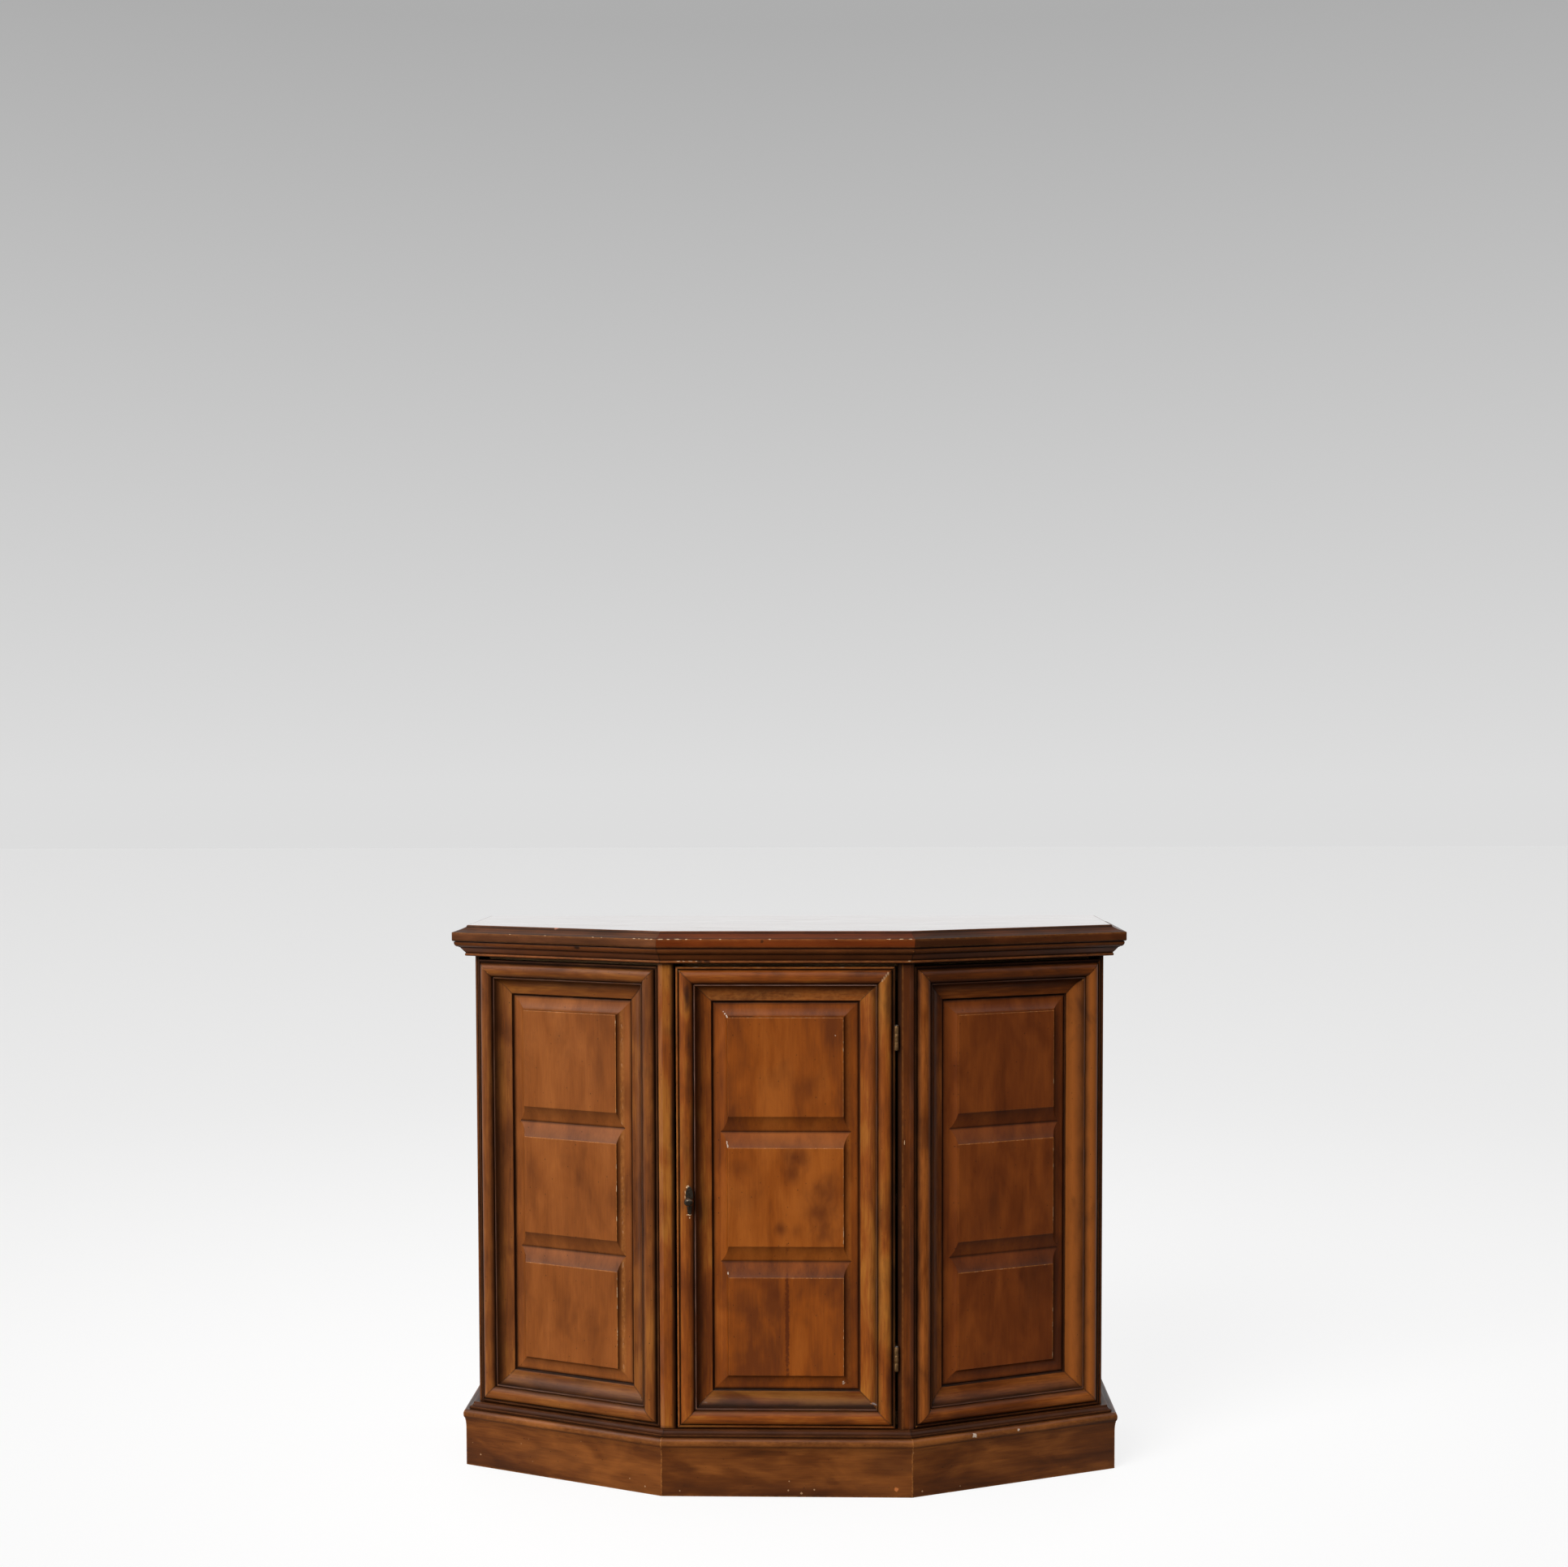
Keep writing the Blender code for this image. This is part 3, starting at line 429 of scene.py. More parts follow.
def canted_point(side, along, inset):
    """A point on one canted side, measured along it from the plinth's front corner."""
    x = FRONT_HALF + along * math.cos(CANT) - inset * math.sin(CANT)
    y = FACE_Y + along * math.sin(CANT) + inset * math.cos(CANT)
    return Vector((side * x, y))


def front_line(inset):
    return front_corner(-1, inset, inset), front_corner(1, inset, inset)


def canted_line(side):
    return lambda inset: (front_corner(side, inset, inset), end_corner(side, inset, inset))


def end_line(side):
    return lambda inset: (
        end_corner(side, inset, inset),
        Vector((side * (PLINTH_HALF - inset), WALL_Y)),
    )


def arc(centre, radius, start, end, steps):
    """Points along an arc, from angles in degrees."""
    turns = [math.radians(start + (end - start) * i / steps) for i in range(steps + 1)]
    return [Vector(centre) + radius * Vector((math.cos(turn), math.sin(turn))) for turn in turns]


def ring(centre, across, up, count):
    """Points round an ellipse with these half axes."""
    turns = [2 * math.pi * i / count for i in range(count)]
    return [centre + across * math.cos(turn) + up * math.sin(turn) for turn in turns]


def softened(section, steps=3):
    """The section in metres, with its corners rounded, as rows of (a, b, glaze with painted shade, wear with
    painted sheen).
    """
    made = []
    for i, (a, b, glaze_and_shade, *rest) in enumerate(section):
        wear_and_sheen, radius = (*rest, 0.0, 0.0)[:2]
        if not radius:
            made.append((a * MM, b * MM, glaze_and_shade, wear_and_sheen))
            continue
        corner = Vector((a, b))
        back = Vector(section[i - 1][:2]) - corner
        ahead = Vector(section[(i + 1) % len(section)][:2]) - corner
        first = corner + back.normalized() * min(radius, back.length * 0.45)
        last = corner + ahead.normalized() * min(radius, ahead.length * 0.45)
        for k in range(steps + 1):
            t = k / steps
            spot = first * (1 - t) ** 2 + corner * 2 * t * (1 - t) + last * t * t
            made.append((spot.x * MM, spot.y * MM, glaze_and_shade, wear_and_sheen))
    return made


def closed_bmesh(rings, cap=None):
    """A closed form through rings of equally many points. With cap, the last face is its own."""
    bm = bmesh.new()
    loops = [[bm.verts.new(point) for point in points] for points in rings]
    for low, high in zip(loops, loops[1:]):
        for i in range(len(low)):
            j = (i + 1) % len(low)
            bm.faces.new((low[i], low[j], high[j], high[i]))
    bm.faces.new(loops[0][::-1])
    bm.faces.new([bm.verts.new(point) for point in cap] if cap else loops[-1])
    bmesh.ops.recalc_face_normals(bm, faces=bm.faces)
    return bm


def to_mesh(name, bm, sharp=None):
    """The bmesh as a smooth mesh, but for edges sharper than the angle in degrees."""
    mesh = bpy.data.meshes.new(name)
    bm.to_mesh(mesh)
    bm.free()
    mesh.shade_smooth()
    if sharp:
        mesh.set_sharp_from_angle(angle=math.radians(sharp))
    return mesh


def set_attributes(mesh, grains, values, seed, tone):
    """Stores what the wood material reads. Values are (end, other end, glaze with painted shade, wear with
    painted sheen).
    """
    shift = (seed * 1.37, seed * 0.71, seed * 2.11)
    count = len(values)
    tones = tone if isinstance(tone, list) else [tone] * count
    for name, kind, field, rows in (
        ("grain", "FLOAT_VECTOR", "vector", [c + s for grain in grains for c, s in zip(grain, shift)]),
        ("ends", "FLOAT_VECTOR", "vector", [c for value in values for c in (*value[:2], 0.0)]),
        ("glaze_and_shade", "FLOAT", "value", [value[2] for value in values]),
        ("wear_and_sheen", "FLOAT", "value", [value[3] for value in values]),
        ("tone", "FLOAT", "value", tones),
    ):
        mesh.attributes.new(name, kind, "POINT").data.foreach_set(field, rows)


def finish_piece(name, mesh, material, body, nodes, slot="brown_finish"):
    """Links a mesh as a piece that rides on a body and stands for CAD nodes."""
    mesh.materials.append(material)
    obj = bpy.data.objects.new(name, mesh)
    bpy.context.collection.objects.link(obj)
    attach(obj, body)
    if nodes:
        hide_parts(*nodes)


def member(name, section, place, material, body, nodes, seed, tone=0.0, sawn=False):
    """A straight member swept between two ends. place(a, b) gives both end points.

    The grain runs along the member, and each end's distance goes into ends. A sawn member
    ends at the wall, with a plain face of its own.
    """
    starts, finishes = zip(*(place(a, b) for a, b, _, _ in section))
    direction = (finishes[0] - starts[0]).normalized()
    rings, grains, values = [], [], []
    for k in range(MEMBER_PARTS + 1):
        t = k / MEMBER_PARTS
        rings.append([start.lerp(end, t) for start, end in zip(starts, finishes)])
        for (a, b, glaze_and_shade, wear_and_sheen), start, end, spot in zip(section, starts, finishes, rings[-1]):
            run = (end - start).length
            grains.append((a, (spot - starts[0]).dot(direction), b))
            values.append((run * t, 1.0 if sawn else run * (1 - t), glaze_and_shade, wear_and_sheen))
    if sawn:
        grains += grains[-len(section):]
        values += [(1.0, 1.0, 0.35, 0.0)] * len(section)
    mesh = to_mesh(name, closed_bmesh(rings, rings[-1] if sawn else None), MEMBER_SHARP)
    set_attributes(mesh, grains, values, seed, tone)
    finish_piece(name, mesh, material, body, nodes)


def frame_section(lip_glaze_and_shade, lip_worn, cove_glaze_and_shade, sheen, cove_worn=0.0):
    """A frame member: lip, quirk, broad torus, quirk, fillet, hollow and the panel's seat, with painted
    shade and a painted sheen.
    """
    section = [
        # The sides in the gaps are painted shade, and a dark lip is painted shade on a side away from the
        # light.
        (0.2, -20.0, 0.30), (0.0, -20.0, 0.9), (0.0, -3.0, 0.9), (0.0, 0.0, lip_glaze_and_shade, lip_worn, 0.5),
        (2.5, 0.0, min(1.0, lip_glaze_and_shade + 0.1), lip_worn * 0.5, 0.4), (2.8, -1.5, 1.0), (3.7, -1.5, 1.0),
    ]
    middle, half, steps = 13.3, 9.3, 26
    for i in range(steps + 1):
        angle = math.pi * (1 - i / steps)
        x = middle + half * math.cos(angle)
        # Painted shade on the torus's flanks: by the lip, wider where the lip is dark, and by the fillet.
        left = max(0.0, 1 - (x - middle + half) / (1.2 + 3.4 * lip_glaze_and_shade))
        right = max(0.0, 1 - (middle + half - x) / 6.0)
        section.append((x, -0.8 + 6.3 * math.sin(angle), min(1.0, 0.9 * left**1.3 + 0.85 * right**1.5)))
    section += [
        # Dark quirks round the fillet; sheen paints a highlight along its crest.
        (22.7, -1.6, 1.0), (23.1, -1.6, 1.0), (23.2, -0.9, 0.90), (23.5, -0.4, 0.80, -0.4 * sheen),
        (24.1, -0.2, 0.70, -sheen), (24.8, -0.35, 0.80, -0.2 * sheen), (25.3, -0.7, 0.90),
    ]
    start, wide, deep, steps = math.radians(14), 19.6, 11.7, 14
    for i in range(steps + 1):
        angle = start + math.radians(76) * i / steps
        drop = (math.sin(angle) - math.sin(start)) / (1 - math.sin(start))
        run = wide * (1 - math.cos(angle) / math.cos(start))
        # Painted shade in the hollow, darkest by the fillet; the cove's own value darkens all of it.
        fade = max(0.0, 1 - run / 11.0)
        glaze_and_shade = min(1.0, cove_glaze_and_shade + 0.78 * fade**1.4)
        section.append((25.5 + run, -0.9 - deep * drop, glaze_and_shade, cove_worn * (1 - fade)))
    section += [
        # The hollow's end by the panel and the member's back are dark: a painted shadow in the gap.
        (45.2, -12.65, 0.30), (46.0, -12.9, 0.85, 0.0, 0.5), (46.0, -15.1, 1.0), (38.0, -15.1, 1.0),
        (38.0, -20.0, 1.0), (37.8, -20.0, 0.30),
    ]
    return softened(section)


def door_place(x, height, z):
    return Vector(((DOOR_LEFT + DOOR_RIGHT) / 2 + x, LIP_Y - height, FRAME_MIDDLE + z))


def canted_place(side):
    middle = (CANTED_START + CANTED_END) / 2

    def place(x, height, z):
        spot = canted_point(side, middle + side * x, LIP_INSET - height)
        return Vector((*spot, FRAME_MIDDLE + z))

    return place


def frame_members(name, words, place, width, material, body, seed, tones, lips):
    """Two stiles and two rails, mitred, in place of the same CAD nodes."""

    def stile(sign):
        def ends(across, height):
            reach = FRAME_HEIGHT / 2 - across - HAIR
            x = sign * (width / 2 - across)
            return place(x, height, reach), place(x, height, -reach)

        return ends

    def rail(sign):
        def ends(across, height):
            reach = width / 2 - across - HAIR
            z = sign * (FRAME_HEIGHT / 2 - across)
            return place(-reach, height, z), place(reach, height, z)

        return ends

    plan = (
        (f"{words[0]}_stile", stile(-1)),
        (f"{words[1]}_stile", stile(1)),
        ("top_rail", rail(1)),
        ("bottom_rail", rail(-1)),
    )
    for k, (word, ends) in enumerate(plan):
        node = f"{name}_{word}"
        section = frame_section(*lips[k])
        member(f"{node}_face", section, ends, material, body, [node], seed + k, tones[k])


def corners(half, low, high):
    """A rectangle's corners, from the lower left one round."""
    return (-half, low), (half, low), (half, high), (-half, high)


def bevel_run(depth):
    return BEVEL * (1 - math.sqrt(max(0.0, 1 - (depth / RAISE) ** 2)))


def valley_run(depth):
    return VALLEY / 2 * (depth / (RAISE * VALLEY_SHARE)) ** 1.25


def rim_steps(half, opening, field_half, spans):
    """The panel's tongue and the outer part of its bevel, below the grooves' depth."""
    hidden = corners(half + PANEL_TONGUE, -opening / 2 - PANEL_TONGUE, opening / 2 + PANEL_TONGUE)
    # The hidden tongue is fully dark, part of the painted shadow in the gap by the frame.
    steps = [(hidden, RAISE + PANEL_BACK, FULL, NONE), (hidden, RAISE, FULL, NONE)]

    def add(run, depth, glazes_and_shades):
        spots = corners(field_half + run, spans[0][0] - run, spans[2][1] + run)
        steps.append((spots, depth, glazes_and_shades, NONE))

    # The panel's edge by the frame is painted black, a painted shadow in the gap that fades out over about 5
    # mm.
    for inner, glaze_and_shade, sunk in (
        (0.1, 1.0, 0.0), (0.4, 1.0, 1.0), (1.7, 1.0, 1.0), (2.1, 0.95, 0.1), (3.4, 0.50, 0.0),
        (5.2, 0.16, 0.0),
    ):
        run = BEVEL - inner * MM
        depth = RAISE * math.sqrt(1 - (1 - run / BEVEL) ** 2) + sunk * MM
        add(run, depth, (glaze_and_shade, glaze_and_shade * 0.8, glaze_and_shade, glaze_and_shade * 0.8))
    start = math.acos(1 - run / BEVEL)
    for i in range(1, 8):
        depth = RAISE * math.sin(start + (math.asin(VALLEY_SHARE) - start) * i / 7)
        add(bevel_run(depth), depth, (0.05, 0.02, 0.05, 0.02))
    return steps


def field_steps(k, spans, levels, field_half, golden):
    """One field's bevels and grooves, from the grooves' depth up to its rubbed edge."""
    low, high = spans[k]
    low_run = bevel_run if k == 0 else valley_run
    high_run = bevel_run if k == 2 else valley_run
    deep = RAISE * VALLEY_SHARE
    # A dark line at each groove's bottom, the painted shadow of a kerf that is not modelled.
    kerf_shadows = (0.85 if k else 0.05, 0.04, 0.85 if k < 2 else 0.05, 0.02)
    steps = [(corners(field_half + bevel_run(deep), levels[k], levels[k + 1]), deep, kerf_shadows, NONE)]
    inside = 12
    for i in range(1, inside + 1):
        share = i / inside
        depth = max(0.00028, RAISE * math.sin(math.asin(VALLEY_SHARE) * (1 - share)))
        kerf_shadow = 0.95 * max(0.0, 1 - i / 1.5)
        # Painted shade on the bevels, darker towards the field's arris, most on the right side, which faces
        # away from the light.
        glazes_and_shades = (
            0.10 + 0.30 * share**2 + (kerf_shadow if k else 0.0),
            0.04 + (0.62 + 0.14 * golden) * share**1.5,
            0.06 + 0.34 * share**1.5 + (kerf_shadow if k < 2 else 0.0),
            0.02 + 0.34 * share**3,
        )
        worns = (0.0, 0.55 * math.sin(math.pi * min(1.0, share * 2.0)) * golden, 0.0, 0.0)
        spots = corners(field_half + bevel_run(depth), low - low_run(depth), high + high_run(depth))
        steps.append((spots, depth, glazes_and_shades, worns))
    rubbed = (0.10, 0.80, 0.55, 0.15)
    for shrink, depth, worns in ((0.00010, 0.0001, rubbed), (0.00055, 0.0, rubbed), (0.0013, 0.0, NONE)):
        steps.append((corners(field_half - shrink, low + shrink, high - shrink), depth, NONE, worns))
    return steps


def raised_panel(name, place, width, material, body, node, seed, tones, golden):
    """A panel with hollow bevels round three fields and pointed grooves between them.

    It is built as four strips, one a side, that meet at the mitres, so that each side can
    have its own glaze and painted shade. Golden is how far the right bevels are rubbed, and it
    also deepens their painted shade by the field.
    """
    bm = bmesh.new()
    half = width / 2 - FRAME_WIDTH
    opening = FRAME_HEIGHT - 2 * FRAME_WIDTH
    tall = (opening - 2 * BEVEL - 2 * VALLEY) / 3
    lows = [-opening / 2 + BEVEL + k * (tall + VALLEY) for k in range(3)]
    spans = [(low, low + tall) for low in lows]
    grains, values = [], []

    def point(x, z, depth, glaze_and_shade, wear_and_sheen=0.0):
        grains.append((x, z, -depth))
        values.append((1.0, 1.0, glaze_and_shade, wear_and_sheen))
        return bm.verts.new(place(x, RAISE - FIELD_UNDER_LIP - depth, z))

    def strips(steps):
        """Strips through steps of (corners, depth, glazes with painted shade, worns): bottom, right, top,
        left.
        """
        for i in range(4):
            last = None
            for spots, depth, glazes_and_shades, worns in steps:
                pair = [point(*spots[c], depth, glazes_and_shades[i], worns[i]) for c in (i, (i + 1) % 4)]
                if last:
                    bm.faces.new((last[0], last[1], pair[1], pair[0]))
                last = pair

    def flat(spots, depth, glaze_and_shade, turn=1):
        bm.faces.new([point(*spot, depth, glaze_and_shade) for spot in spots][::turn])

    rim = rim_steps(half, opening, half - BEVEL, spans)
    flat(rim[0][0], RAISE + PANEL_BACK, 0.30, -1)
    strips(rim)
    reach = bevel_run(RAISE * VALLEY_SHARE)
    levels = [spans[0][0] - reach]
    levels += [(low[1] + high[0]) / 2 for low, high in zip(spans, spans[1:])]
    levels += [spans[2][1] + reach]
    for k in range(3):
        steps = field_steps(k, spans, levels, half - BEVEL, golden)
        strips(steps)
        flat(steps[-1][0], 0.0, 0.0)
    mesh = to_mesh(name, bm)
    middles = [(low + high) / 2 for low, high in spans]
    nearest = [min(range(3), key=lambda k: abs(z - middles[k])) for _, z, _ in grains]
    set_attributes(mesh, grains, values, seed, [tones[k] for k in nearest])
    finish_piece(name, mesh, material, body, [node])


def panelled_face(name, words, place, width, woods, body, seed, tones, lips, panel_tones, golden):
    """A mitred frame round its raised panel."""
    frame_members(name, words, place, width, woods[0], body, seed, tones, lips)
    node = f"{name}_raised_panel"
    raised_panel(f"{node}_face", place, width, woods[1], body, node, seed + 5, panel_tones, golden)


RUNS = (
    ("front", front_line),
    ("left_canted", canted_line(-1)),
    ("right_canted", canted_line(1)),
    ("left_end", end_line(-1)),
    ("right_end", end_line(1)),
)


def mouldings(name, section, materials, nodes, seed, tones=(0, 0, 0, 0, 0)):
    """The five lengths of one moulding round the cabinet, with a hair between them."""
    for k, (word, line) in enumerate(RUNS):

        def ends(inset, z):
            start, end = line(inset)
            ease = (end - start).normalized() * HAIR
            return Vector((*(start + ease), z)), Vector((*(end - ease), z))

        replaced = [nodes.format(word)]
        sawn = word.endswith("end")
        piece = f"{name}_{word}"
        member(piece, softened(section), ends, materials[k], "cabinet", replaced, seed + k, tones[k], sawn)


def top_section():
    """The top's edging: a worn arris, a shallow hollow and a small step up to the surface."""
    top = HEIGHT / MM
    under = TOP_UNDERSIDE / MM
    return [
        (TOP_EDGING / MM, under, 0.5), (-10.3, under, 0.7, 0.0, 0.4), (-11.5, under + 1.2, 0.45, 0.10, 0.6),
        (-11.5, under + 3.6, 0.10), (-11.5, under + 8.5, 0.04), (-11.5, top - 9.3, 0.10, 0.30, 0.3),
        (-10.4, top - 8.95, 0.55), (-7.5, top - 8.2, 0.48), (-3.2, top - 6.9, 0.08), (-1.0, top - 6.1, 0.36),
        (2.6, top - 4.5, 0.16), (5.9, top - 2.75, 0.70), (6.4, top - 2.4, 0.95),
        (7.2, top - 0.5, 0.45, 0.1, 0.3), (8.5, top, 0.05, 0.2, 0.4), (TOP_EDGING / MM, top, 0.0),
    ]


def cornice_section():
    """The cornice: bead, slope, fillet and ovolo."""
    low = CORNICE_BOTTOM / MM
    top = TOP_UNDERSIDE / MM - 0.3
    section = [(60.0, low, 1.0), (12.0, low, 1.0), (5.8, low + 0.1, 1.0, 0.0, 0.3)]
    for i, glaze_and_shade in enumerate((0.70, 0.28, 0.06, 0.0, 0.0, 0.0, 0.08, 0.35, 0.80)):
        angle = math.radians(-80 + 20 * i)
        spot = (5.7 - 1.3 * math.cos(angle), low + 2.0 + 1.85 * math.sin(angle))
        section.append((*spot, glaze_and_shade, 0.30 if 2 < i < 7 else 0.0))
    section += [
        (5.6, low + 4.1, 1.0), (5.2, low + 4.7, 0.70), (3.6, low + 6.3, 0.12), (1.0, low + 9.2, 0.0, 0.10),
        (-1.0, low + 11.4, 0.12), (-1.6, low + 12.2, 0.95, 0.0, 0.3), (-2.9, low + 12.2, 1.0, 0.0, 0.2),
        (-3.0, low + 12.9, 0.45, 0.25),
    ]
    for i in range(1, 9):
        angle = math.radians(-90 + 90 * i / 8)
        spot = (-3.0 - 6.1 * math.cos(angle), low + 18.7 + 5.7 * math.sin(angle))
        section.append((*spot, 0.14 + 0.02 * i, 0.08))
    return section + [(-9.1, top - 1.3, 0.55), (-8.8, top - 0.5, 1.0), (-7.6, top, 1.0), (60.0, top, 1.0)]


def cap_section():
    """The base cap: a fillet, a cove and the dark ledge that the case stands on."""
    top = CAP_TOP / MM
    low = PLINTH_TOP / MM + 0.3
    section = [(60.0, low, 1.0), (4.1, low, 1.0, 0.0, 0.2), (4.1, low + 3.0, 0.62, 0.10, 0.3)]
    for i in range(9):
        angle = math.radians(-90 + 90 * i / 8)
        x = 4.4 + 5.4 * math.cos(angle)
        section.append((x, top - 0.2 + 5.2 * math.sin(angle), 0.85 - 0.20 * i / 8))
    section += [(10.0, top, 0.60, 0.12, 0.3), (14.0, top, 0.85), (60.0, top, 1.0)]
    return section


def plinth_section():
    """A plinth board with a nosed top edge and a slightly flared neck."""
    top = PLINTH_TOP / MM
    section = [
        (2 * HALF_BOARD / MM, 0.0, 0.4), (0.0, 0.0, 0.25, 0.5, 0.8), (0.0, 2.2, 0.2), (0.0, 12.0, 0.02),
        (0.0, 52.0, 0.0), (-0.2, 57.0, 0.02), (-0.8, 62.0, 0.10), (-1.3, 64.0, 0.12),
    ]
    for i in range(17):
        angle = math.radians(-64 + 154 * i / 16)
        x = 0.1 - 3.6 * math.cos(angle)
        z = top - 6.0 + (6.4 if angle < 0 else 6.0) * math.sin(angle)
        section.append((x, z, 0.0 if 3 < i < 13 else 0.25, 0.22 if 4 < i < 11 else 0.05))
    return section + [(0.6, top, 0.5), (2 * HALF_BOARD / MM, top, 1.0)]


def upright(name, rows, material, seed, tone):
    """A post through plan points of (spot, glaze with painted shade, wear with painted sheen), with its
    grain along its height.
    """
    low = CAP_TOP + CLEAR
    high = CORNICE_BOTTOM - CLEAR
    levels = (low, low + POST_END, high - POST_END, high)
    rings = [[(*spot, z) for spot, _, _ in rows] for z in levels]
    mesh = to_mesh(f"{name}_face", closed_bmesh(rings), 30)
    centre = sum((spot for spot, _, _ in rows), Vector((0, 0))) / len(rows)
    grains = [(v.co.x - centre.x, v.co.z, v.co.y - centre.y) for v in mesh.vertices]
    values = []
    for z in levels:
        for _, glaze_and_shade, wear_and_sheen in rows:
            values.append((1.0, 1.0, 0.75 if z in (low, high) else glaze_and_shade, wear_and_sheen))
    set_attributes(mesh, grains, values, seed, tone)
    finish_piece(f"{name}_face", mesh, material, "cabinet", [name])


def corner_post(side, word, material, seed, tone, edge_worn, sheen):
    """The eased post beside the door, with painted shade on its sides in the gaps and a painted sheen along
    its corner.
    """
    ease = 4.7 * MM
    rows = [
        (Vector((side * POST_HALF, LIP_Y + FRAME_BACK)), 0.45, 0.0),
        (Vector((side * POST_HALF, LIP_Y + 9 * MM)), 1.0, 0.0),
    ]
    # Painted shade on the eased side in the gap by the door.
    glazes_and_shades = (1.0, 1.0, 0.97, 0.94, 0.90, 0.84, 0.74, 0.55)
    for spot, glaze_and_shade in zip(arc((POST_HALF + ease, LIP_Y + ease), ease, 180, 270, 7), glazes_and_shades):
        rows.append((Vector((side * spot.x, spot.y)), glaze_and_shade, 0.0))
    corner = front_corner(side, LIP_INSET, LIP_INSET)
    for away, glaze_and_shade, wear_and_sheen in ((9.4, 0.12, edge_worn), (8.4, 0.05, 0.0), (0.8, 0.03, 0.0)):
        rows.append((corner - Vector((side * away * MM, 0)), glaze_and_shade, wear_and_sheen))
    inner = rows[-1][0]
    outer = corner + canted_point(side, 0.8 * MM, LIP_INSET) - canted_point(side, 0, LIP_INSET)
    # A painted sheen along the post's corner.
    rows += [(corner.lerp((inner + outer) / 2, 0.5), 0.0, -0.12), (outer, 0.02, sheen)]
    start = CANTED_START - CLEAR
    ease = 2.35 * MM
    # The easing into the gap by the canted frame: painted shade, and a painted sheen at its start.
    for i in range(7):
        angle = math.radians(90 - 15 * i)
        along = start - ease + ease * math.cos(angle)
        spot = canted_point(side, along, LIP_INSET + ease - ease * math.sin(angle))
        rows.append((spot, min(1.0, 0.04 + 0.16 * i), sheen if i < 3 else 0.0))
    deep = LIP_INSET + FRAME_BACK
    rows += [(canted_point(side, start, deep), 0.45, 0.0), (front_corner(side, deep, deep), 0.45, 0.0)]
    upright(f"{word}_corner_post", rows, material, seed, tone)


def end_post(side, word, material, seed):
    """The narrow post where a canted side ends, with a fine bead scratched into it."""
    start = CANTED_END + CLEAR
    edge = canted_point(side, start, BODY_INSET)
    corner = end_corner(side, BODY_INSET, BODY_INSET)
    last = 1.0 - 0.7 * MM / (corner - edge).length
    rows = []
    for share, inset, glaze_and_shade, wear_and_sheen in (
        (0.0, 0.0, 0.9, 0.0), (0.30, 0.0, 0.60, 0.0), (0.36, 0.5, 1.0, 0.0), (0.46, 0.5, 1.0, 0.0),
        (0.52, 0.0, 0.45, 0.12), (last, 0.0, 0.40, 0.12),
    ):
        inward = canted_point(side, 0, inset * MM) - canted_point(side, 0, 0)
        rows.append((edge.lerp(corner, share) + inward, glaze_and_shade, wear_and_sheen))
    back = corner.y + END_POST_DEPTH
    deep = LIP_INSET + FRAME_BACK + CLEAR
    rows += [
        (corner + Vector((0, 0.8 * MM)), 0.3, 0.1),
        (Vector((corner.x, back)), 0.1, 0.0),
        (Vector((side * (PLINTH_HALF - BODY_INSET - END_POST_THICK), back)), 0.6, 0.0),
        (end_corner(side, deep, BODY_INSET + END_POST_THICK), 0.8, 0.0),
        (canted_point(side, start, deep), 1.0, 0.0),
    ]
    upright(f"{word}_end_post", rows, material, seed, 0.0)


def top_field(material, seed):
    """The top's middle, inside its mitred edging."""
    inset = TOP_EDGING + HAIR
    outline = [*front_line(inset), end_corner(1, inset, inset)]
    outline += [Vector((side * (PLINTH_HALF - inset), WALL_Y)) for side in (1, -1)]
    outline.append(end_corner(-1, inset, inset))
    rings = [[(*spot, z) for spot in outline] for z in (TOP_UNDERSIDE, HEIGHT - TOP_FIELD_DROP)]
    mesh = to_mesh("top_field", closed_bmesh(rings), 20)
    grains = [(v.co.y, v.co.x, v.co.z) for v in mesh.vertices]
    set_attributes(mesh, grains, [(1.0, 1.0, 0.0, 0.0)] * len(grains), seed, 0.0)
    finish_piece("top_field", mesh, material, "cabinet", ["top_board"])


def turned(name, base, axes, count, sharp, profile, *finish):
    """A piece of oval rings, from rows of how far it reaches along the three axes, in mm."""
    across, up, out = axes
    rings = []
    for wide, tall, far in profile:
        rings.append(ring(base + out * far * MM, across * wide * MM, up * tall * MM, count))
    finish_piece(name, to_mesh(name, closed_bmesh(rings), sharp), *finish)


